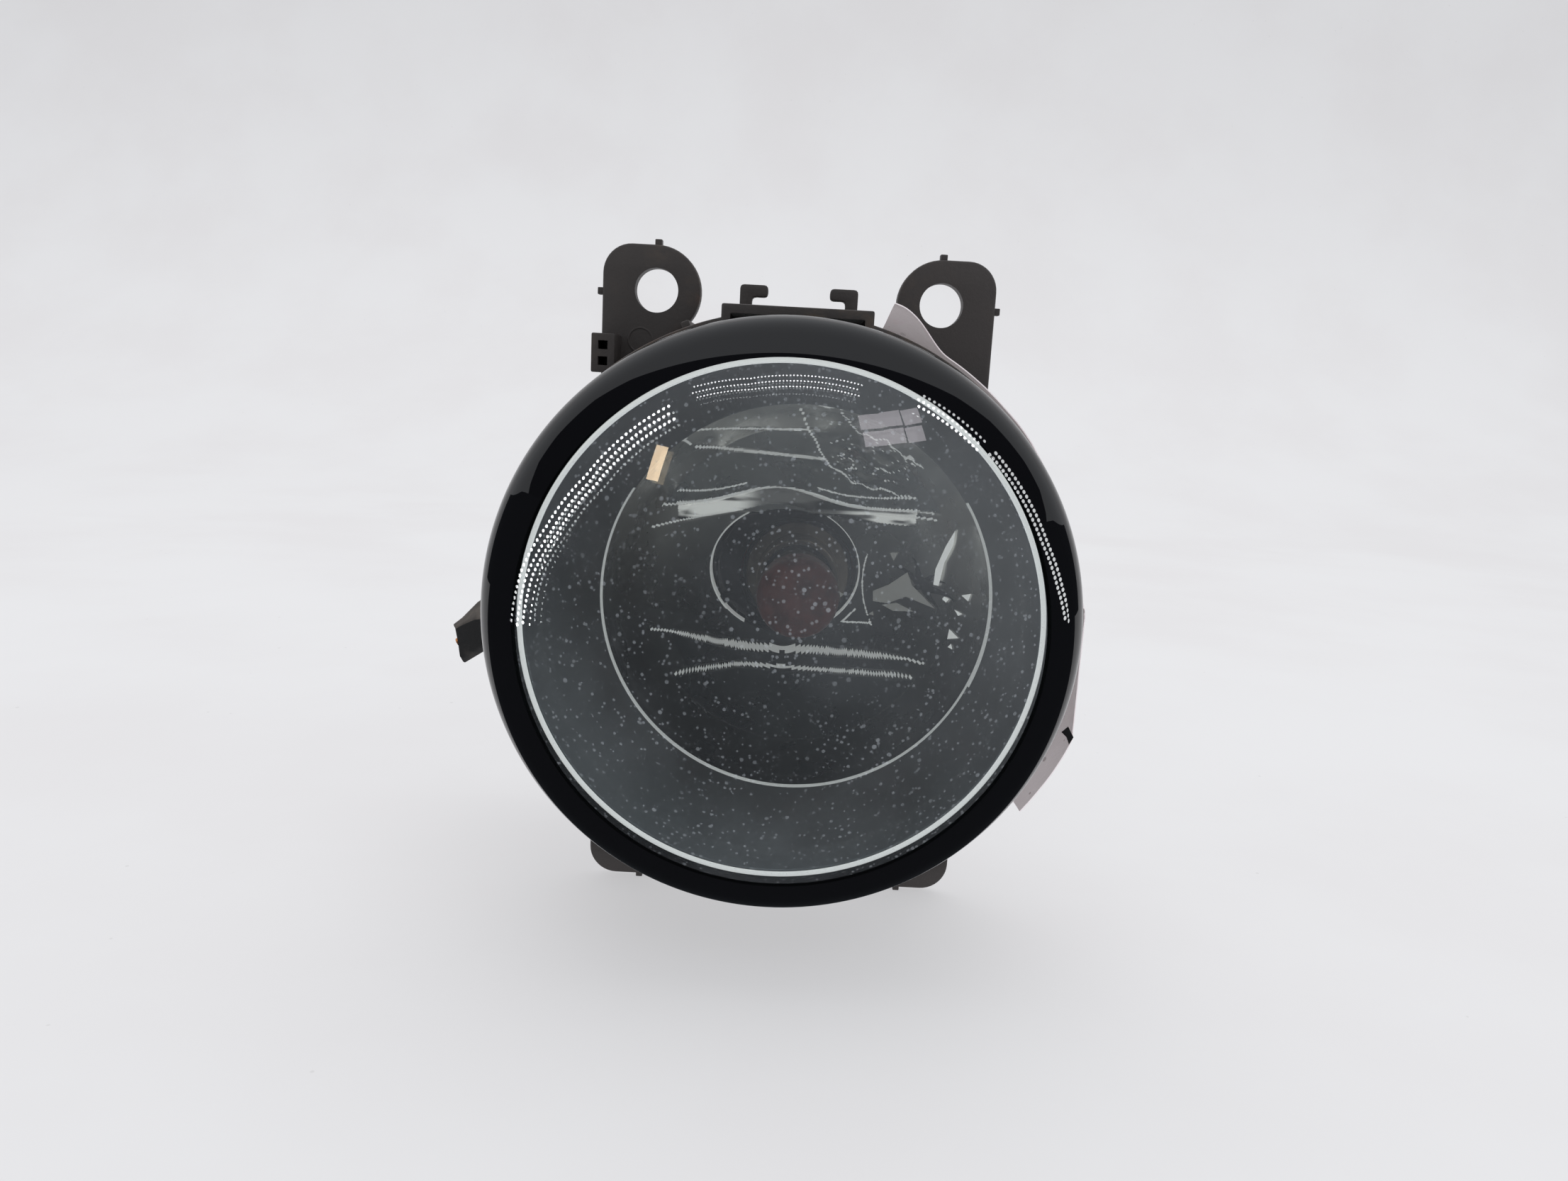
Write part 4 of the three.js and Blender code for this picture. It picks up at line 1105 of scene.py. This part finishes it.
# ---- plug
def plug_outline(x, middle, scale, chamfer, soft=0.8):
    """The plug's section at x: (depth, height) with its upper front edge cut away."""
    front, rear, half, bevel = 52.3, 66.2, 6.6, 2.0
    corners = [(front, -half + bevel), (front + bevel, -half), (rear - bevel, -half),
               (rear, -half + bevel), (rear, half - bevel), (rear - bevel, half),
               (front + bevel + chamfer, half), (front, half - chamfer)]
    points = rounded(corners, soft, 3)
    return [(x, SOCKET_MIDDLE + (d - SOCKET_MIDDLE) * scale, middle + h * scale) for d, h in points]


def plug_loft(sections):
    return new_mesh(*rings([plug_outline(*section) for section in sections], capped=True))


def plug_mesh():
    body = plug_loft([(-26.4, 0, 0.965, 5), (-26.9, 0, 1, 5), (-30, 0, 1, 5), (-30.3, 0, 0.975, 5),
                      (-31.4, 0, 0.975, 5), (-31.7, 0, 1, 5), (-51.1, 0, 1, 5), (-51.6, 0, 0.965, 5)])
    nose = slab((-26.5, 55.3, -5.2), (-15, 63.1, 5.2), 0.5)
    slots = [slab((-24, 58.4, z - 1.8), (-14, 60.0, z + 1.8), 0) for z in (3.1, -3.1)]
    return placed(cut(joined(body, [nose]), slots))


def placed(mesh):
    return moved(dropped(mesh), x=BULB_AXIS[0], z=BULB_AXIS[1])


def boot_mesh():
    """The rubber sleeve over the wires: it narrows, bends down and ends in a ragged cut."""
    stops = [(-51.9, 0, 1.04, 6.5), (-56, 0, 1, 6.5), (-60, -0.6, 0.86, 6), (-65, -2, 0.73, 3.5),
             (-69.6, -4.5, 0.62, 1)]
    sections = []
    for a, b in zip(stops, stops[1:]):
        for k in range(4):
            sections.append(tuple(p + (q - p) * k / 4 for p, q in zip(a, b)))
    sections.append(stops[-1])
    rows = [plug_outline(*section) for section in sections]
    rows[-1] = [(x + 0.9 * field.noise(Vector((d * 0.7, h * 0.7, 4.0))), d, h) for x, d, h in rows[-1]]
    body = new_mesh(*rings(rows, capped=True))
    holes = [wire_placed(crosswise(rod(1.5, -2, 6, 32, 0), -1), side) for side in (1, -1)]
    return placed(cut(body, [cleaned(hole) for hole in holes]))


def wire_placed(mesh, side):
    """Turns a rod along -X to the slope of the cut wires and moves it to one of the two outlets."""
    mesh.transform(Matrix.Rotation(math.radians(-24), 4, "Y"))
    return moved(mesh, x=-69.9, d=SOCKET_MIDDLE + side * 1.9, z=-4.5)


def latch_mesh():
    lever = slab((-46, 67.6, -3.6), (-22.5, 69, 3.6), 0.35)
    foot = slab((-38.4, 66.5, -2.6), (-35.6, 67.7, 2.6), 0.2)
    ridges = [slab((x, 68.6, -3.4), (x + 0.7, 69.8, 3.4), 0.2) for x in (-46, -44.8, -43.6)]
    return placed(joined(lever, [foot, *ridges]))


# ---- adjuster
def screw_mesh():
    """Threaded shank, washer and hexagonal head with a hexagonal recess."""
    pitch, crest, root, run_out = 1.5, 2.0, 1.55, 0.8
    start, end = 18.5, 30.0
    columns, steps = 40, 120
    rows = []
    for k in range(steps + 1):
        depth = start + (end - start) * k / steps
        ends = max(0.0, min(1.0, (depth - start) / run_out, (end - depth) / run_out))
        row = []
        for i, angle in enumerate(full_turn(columns)):
            phase = ((depth - start) / pitch - i / columns) % 1.0
            tooth = 1 - abs(2 * phase - 1)
            radius = root + (crest - root) * smoothstep(tooth, 0.1, 0.8) * ends
            row.append((radius * math.cos(angle), depth, radius * math.sin(angle)))
        rows.append(row)
    thread = new_mesh(*rings(rows, capped=True))
    shank = rod(1.95, 29.7, 40.5, 48, 0.1)
    washer = rod(5.0, 39.3, 40.5, 64, 0.2)
    head = plate(circle(4.35, full_turn(6)), 40.4, 44.8, 0.35)
    recess = rod(2.2, 42.2, 45.8, 6, 0)
    return moved(cut(joined(thread, [shank, washer, head]), [recess]), z=ADJUST_Z)


def nut_mesh():
    barrel = rod(3.1, 18.1, 25.6, 48, 0.3)
    flange = plate(circle(4, full_turn(6)), 25.5, 27, 0.25)
    return moved(cut(joined(barrel, [flange]), [rod(2.45, 17, 28, 48, 0)]), z=ADJUST_Z)


# ---- assembly
def build_lamp_body():
    lens_finishes = [GLASS_DUSTY, GLASS_CLEAN, EDGE_BLACK, EDGE_GREY]
    piece("lens_fine", lens_mesh(), "lamp_body", lens_finishes, ["lens"], indices=lens_zone)
    mirror_finishes = [BOWL_METAL, CONE_METAL, EDGE_PAINTED_HIGHLIGHT, RIM_PAINTED_HIGHLIGHT, BAND_METAL]
    piece("reflector_fine", reflector_mesh(), "lamp_body", mirror_finishes, ["reflector"], 60,
          reflector_zone)
    splits, dull, gleaming = bowl_damage()
    piece("bowl_splits", splits, "lamp_body", [SCORCHED])
    piece("bowl_scraps", dull, "lamp_body", [FLAKED_WITH_GLOW])
    piece("bowl_gleams", gleaming, "lamp_body", [GLEAM_PAINTED_GLINT])
    piece("housing_fine", housing_mesh(), "lamp_body", [GLOSS_BLACK], ["housing"])
    piece("adjuster_nut_fine", nut_mesh(), "lamp_body", [NATURAL], ["adjuster_nut"])


def build_bracket():
    piece("bracket_fine", bracket_mesh(), "bracket", [BRACKET_BLACK], ["bracket"])
    piece("ejector_mark", ejector_mark(), "bracket", [BRACKET_BLACK])
    piece("label_fine", label_mesh(), "bracket", [PAPER], ["paper_label"])
    piece("label_scrap", label_scrap(), "bracket", [SCORCHED])


def build_bulb():
    tube = nosed_tube(6, 0.9, 14.6, 37, 4)
    piece("bulb_tube", tube, "bulb", [GLASS_BULB], ["bulb_glass"])
    tip = nosed_tube(6.9, 0.6, 13.2, 21, 4.6)
    piece("bulb_tip", tip, "bulb", [TIP_PAINT], ["bulb_tip_cap"])
    piece("bulb_sleeve_fine", sleeve_mesh(), "bulb", [BEIGE_METAL], ["bulb_sleeve"])
    piece("bulb_base_fine", base_mesh(), "bulb", [PLUG_BLACK], ["bulb_base"])


def boot_zone(_centre, normal):
    """0 the boot's upper faces, lighter with painted light, 1 the rest."""
    return 0 if normal.z > 0.25 else 1


def build_plug():
    piece("plug_fine", plug_mesh(), "harness_plug", [PLUG_BLACK], ["plug_shell"])
    piece("boot_fine", boot_mesh(), "harness_plug", [BOOT_TOP_PAINTED_LIGHT, RUBBER], ["plug_boot"],
          indices=boot_zone)
    piece("latch_fine", latch_mesh(), "plug_latch", [PLUG_BLACK], ["plug_latch"])


def build_adjuster():
    piece("adjuster_screw_fine", screw_mesh(), "adjuster", [ZINC], ["adjuster_screw"])


KEPT = {
    "lens_seal": RUBBER, "pivot_pin_right": ZINC, "pivot_pin_left": ZINC, "vent_cap": RUBBER,
    "pivot_bush_right": NATURAL, "pivot_bush_left": NATURAL, "adjuster_retainer": ZINC,
    "bulb_filament": TUNGSTEN, "bulb_lead_short": TUNGSTEN, "bulb_lead_long": TUNGSTEN,
    "bulb_seal_ring": SILICONE, "terminal_upper": TIN, "terminal_lower": TIN, "plug_seal": SILICONE,
    "wire_end_front": COPPER, "wire_end_rear": COPPER,
}


def finish_kept_nodes():
    """The small CAD parts that show as they are, with softened edges and their own finish."""
    for name, material in KEPT.items():
        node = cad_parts[name]
        node.data.materials.clear()
        node.data.materials.append(material)
        soften = node.modifiers.new("soften", "BEVEL")
        soften.width = 0.12 * MM
        soften.segments = 2
        soften.limit_method = "ANGLE"
        soften.angle_limit = math.radians(40)


# ---- stage, light and camera
def floor_and_sweep():
    """A pale floor that curves up into a wall behind the lamp."""
    near, turn, radius, height = -3.0, 0.62, 0.5, 1.6
    base = FLOOR_Z * MM
    line = [(near, base), (turn, base)]
    line += [(turn + radius * math.sin(a), base + radius * (1 - math.cos(a)))
             for a in [math.pi / 2 * k / 24 for k in range(1, 25)]]
    line.append((turn + radius, base + height))
    half = 3.0
    vertices = [(x, y, z) for y, z in line for x in (-half, half)]
    faces = [(2 * i, 2 * i + 1, 2 * i + 3, 2 * i + 2) for i in range(len(line) - 1)]
    mesh = bpy.data.meshes.new("floor")
    mesh.from_pydata(vertices, [], faces)
    mesh.shade_smooth()
    mesh.materials.append(floor_material())
    floor = in_scene("floor", mesh)


LAMP_POINT = Vector((0, -RIM_TO_EARS * MM, 0))


def card(name, centre, width, height, material, facing=LAMP_POINT):
    """A flat rectangle that faces the lamp and shows only in reflections."""
    mesh = bpy.data.meshes.new(name)
    w, h = width / 2, height / 2
    mesh.from_pydata([(-w, -h, 0), (w, -h, 0), (w, h, 0), (-w, h, 0)], [], [(0, 1, 2, 3)])
    mesh.materials.append(material)
    thing = in_scene(name, mesh)
    thing.location = centre
    direction = Vector(facing) - Vector(centre)
    thing.rotation_euler = direction.to_track_quat("Z", "Y").to_euler()
    reflected_only(thing)


def reflected_only(thing):
    thing.visible_camera = False
    thing.visible_diffuse = False
    thing.visible_shadow = False
    thing.visible_volume_scatter = False


ELEVATION = math.radians(11.39)
AZIMUTH = math.radians(0.04)
ROLL = math.radians(3.11)
EYE_DISTANCE = 178.4
FOCAL_LENGTH = 27.08
SENSOR_WIDTH = 36.0
LENS_SHIFT = (0.0018, 0.02025)
ROOM_BRIGHTNESS = 0.72
LIGHT_REACH = 450.0
SPREAD = 0.031


def toward_eye():
    """Unit direction from the lamp to the camera."""
    return Vector((math.sin(AZIMUTH) * math.cos(ELEVATION), -math.cos(AZIMUTH) * math.cos(ELEVATION),
                   math.sin(ELEVATION)))


def mirrored_place(radius, degrees):
    """Where a light stands, in metres, if the dome is to show it at this radius and angle."""
    reach = LIGHT_REACH
    angle = math.radians(degrees)
    middle = Vector((0, LENS_APEX + LENS_DOME, 0))
    spot = Vector((radius * math.cos(angle), middle.y - math.sqrt(LENS_DOME ** 2 - radius ** 2),
                   radius * math.sin(angle)))
    ray = (spot - toward_eye() * EYE_DISTANCE).normalized().reflect((spot - middle).normalized())
    if ray.z < 0:
        reach = min(reach, (FLOOR_Z + 6 - spot.z) / ray.z)
    place = spot + ray * reach
    return (place - Vector((0, RIM_TO_EARS, 0))) * MM, ray, reach


def led_arc(name, path, count, rows, dot, material, row_gap=1.0):
    """Rows of small lamps that the dome shows as dotted arcs along (angle, radius) stops."""
    vertices, faces = [], []
    for i in range(count):
        degrees = path[0][0] + (path[-1][0] - path[0][0]) * i / (count - 1)
        radius = along([(-a, r) for a, r in path], -degrees)
        for row in range(rows):
            middle, ray, reach = mirrored_place(radius - row * row_gap, degrees + 0.7 * (row % 2))
            across = ray.orthogonal().normalized()
            upward = ray.cross(across)
            size = dot * (1 + SPREAD * reach) * MM
            first = len(vertices)
            for k in range(8):
                turn = math.pi / 4 * k
                vertices.append(middle + (across * math.cos(turn) + upward * math.sin(turn)) * size)
            faces.append(tuple(range(first, first + 8)))
    mesh = bpy.data.meshes.new(name)
    mesh.from_pydata(vertices, [], faces)
    mesh.materials.append(material)
    reflected_only(in_scene(name, mesh))


def window_panes(radius, degrees, material):
    """Six panes of a far window, mirrored near the top of the dome."""
    middle, ray, _ = mirrored_place(radius, degrees)
    across = ray.cross(Vector((0, 0, 1))).normalized()
    upward = across.cross(ray)
    for column in range(3):
        for row in range(2):
            place = middle + across * 0.042 * (column - 1) + upward * 0.036 * (row - 0.5)
            card(f"window_{column}_{row}", tuple(place), 0.037 + 0.004 * column, 0.031, material)


def area(name, location, target, size, power, colour):
    """A soft square light that reflections don't show."""
    light = bpy.data.lights.new(name, "AREA")
    light.shape = "SQUARE"
    light.size = size
    light.energy = power
    light.color = colour
    thing = in_scene(name, light)
    thing.location = location
    direction = Vector(target) - Vector(location)
    thing.rotation_euler = direction.to_track_quat("-Z", "Y").to_euler()
    thing.visible_camera = False
    thing.visible_glossy = False


def lights():
    world = bpy.data.worlds.new("room")
    world.use_nodes = True
    background = world.node_tree.nodes["Background"]
    background.inputs["Color"].default_value = (0.93, 0.96, 1.0, 1)
    background.inputs["Strength"].default_value = ROOM_BRIGHTNESS
    bpy.context.scene.world = world
    area("overhead", (0.0, 0.15, 1.5), (0, 0, 0), 1.6, 9.0, (1.0, 0.99, 0.97))
    area("front_fill", (0.6, -1.2, 0.9), (0, -0.03, 0), 0.9, 2.0, (0.95, 0.98, 1.0))
    dark = glow("flag_black", (0.02, 0.022, 0.025), 1.0)
    dim = glow("flag_dim", (0.03, 0.034, 0.038), 1.0)
    card("flag", (0, -0.62, 0.1), 3.0, 1.5, dark)
    card("low_flag", (0, -0.334, -0.056), 3.0, 0.65, dim, (0, -0.334, 1.0))
    card("left_flag", (-0.66, -0.2, 0.0), 0.9, 0.36, dim)
    card("right_flag", (0.66, -0.2, 0.0), 0.9, 0.36, dim)
    bright = glow("led_white", (0.96, 0.98, 1.0), 13.0)
    faint = glow("led_faint", (0.96, 0.98, 1.0), 6.0)
    warm = glow("lamp_warm", (1.0, 0.76, 0.5), 4.0)
    pink = glow("window_pink", (0.9, 0.84, 0.9), 1.3)
    left = [(180.3, 38.9), (168.8, 38.1), (157.6, 36.5), (142.8, 35.4), (118.5, 35.8)]
    led_arc("leds_left", left, 50, 3, 0.2, bright, 0.95)
    led_arc("leds_left_inner", [(180.5, 35.9), (170.1, 35.4), (157.5, 34.1)], 16, 1, 0.14, bright)
    led_arc("leds_top", [(111.8, 36.9), (99.4, 36.3), (75.4, 36.9)], 48, 3, 0.12, faint, 0.75)
    led_arc("leds_upper_right", [(62.4, 39.1), (54.6, 39.4), (47.0, 39.6)], 14, 3, 0.2, bright, 0.8)
    right = [(43.6, 39.7), (22.3, 40.2), (12.0, 41.1), (5.3, 42.0)]
    led_arc("leds_right", right, 36, 2, 0.25, bright, 0.8)
    place, _, _ = mirrored_place(29.9, 127.3)
    card("lamp_reflection", tuple(place), 0.026, 0.07, warm)
    window_panes(33.3, 65.4, pink)


def camera():
    """A wide lens close to the lamp, a little above its axis and slightly rolled."""
    back = toward_eye()
    level = Vector((math.cos(AZIMUTH), math.sin(AZIMUTH), 0))
    upright = back.cross(level)
    right = level * math.cos(ROLL) + upright * math.sin(ROLL)
    up = upright * math.cos(ROLL) - level * math.sin(ROLL)
    lens = bpy.data.cameras.new("camera")
    lens.lens = FOCAL_LENGTH
    lens.sensor_width = SENSOR_WIDTH
    lens.shift_x, lens.shift_y = LENS_SHIFT
    lens.clip_start = 0.01
    view = in_scene("camera", lens)
    place = Matrix.Translation(LAMP_POINT + back * EYE_DISTANCE * MM)
    view.matrix_world = place @ Matrix((right, up, back)).transposed().to_4x4()
    bpy.context.scene.camera = view


build_lamp_body()
build_bracket()
build_bulb()
build_plug()
build_adjuster()
finish_kept_nodes()
floor_and_sweep()
lights()
camera()
bpy.context.scene.view_settings.view_transform = "Standard"
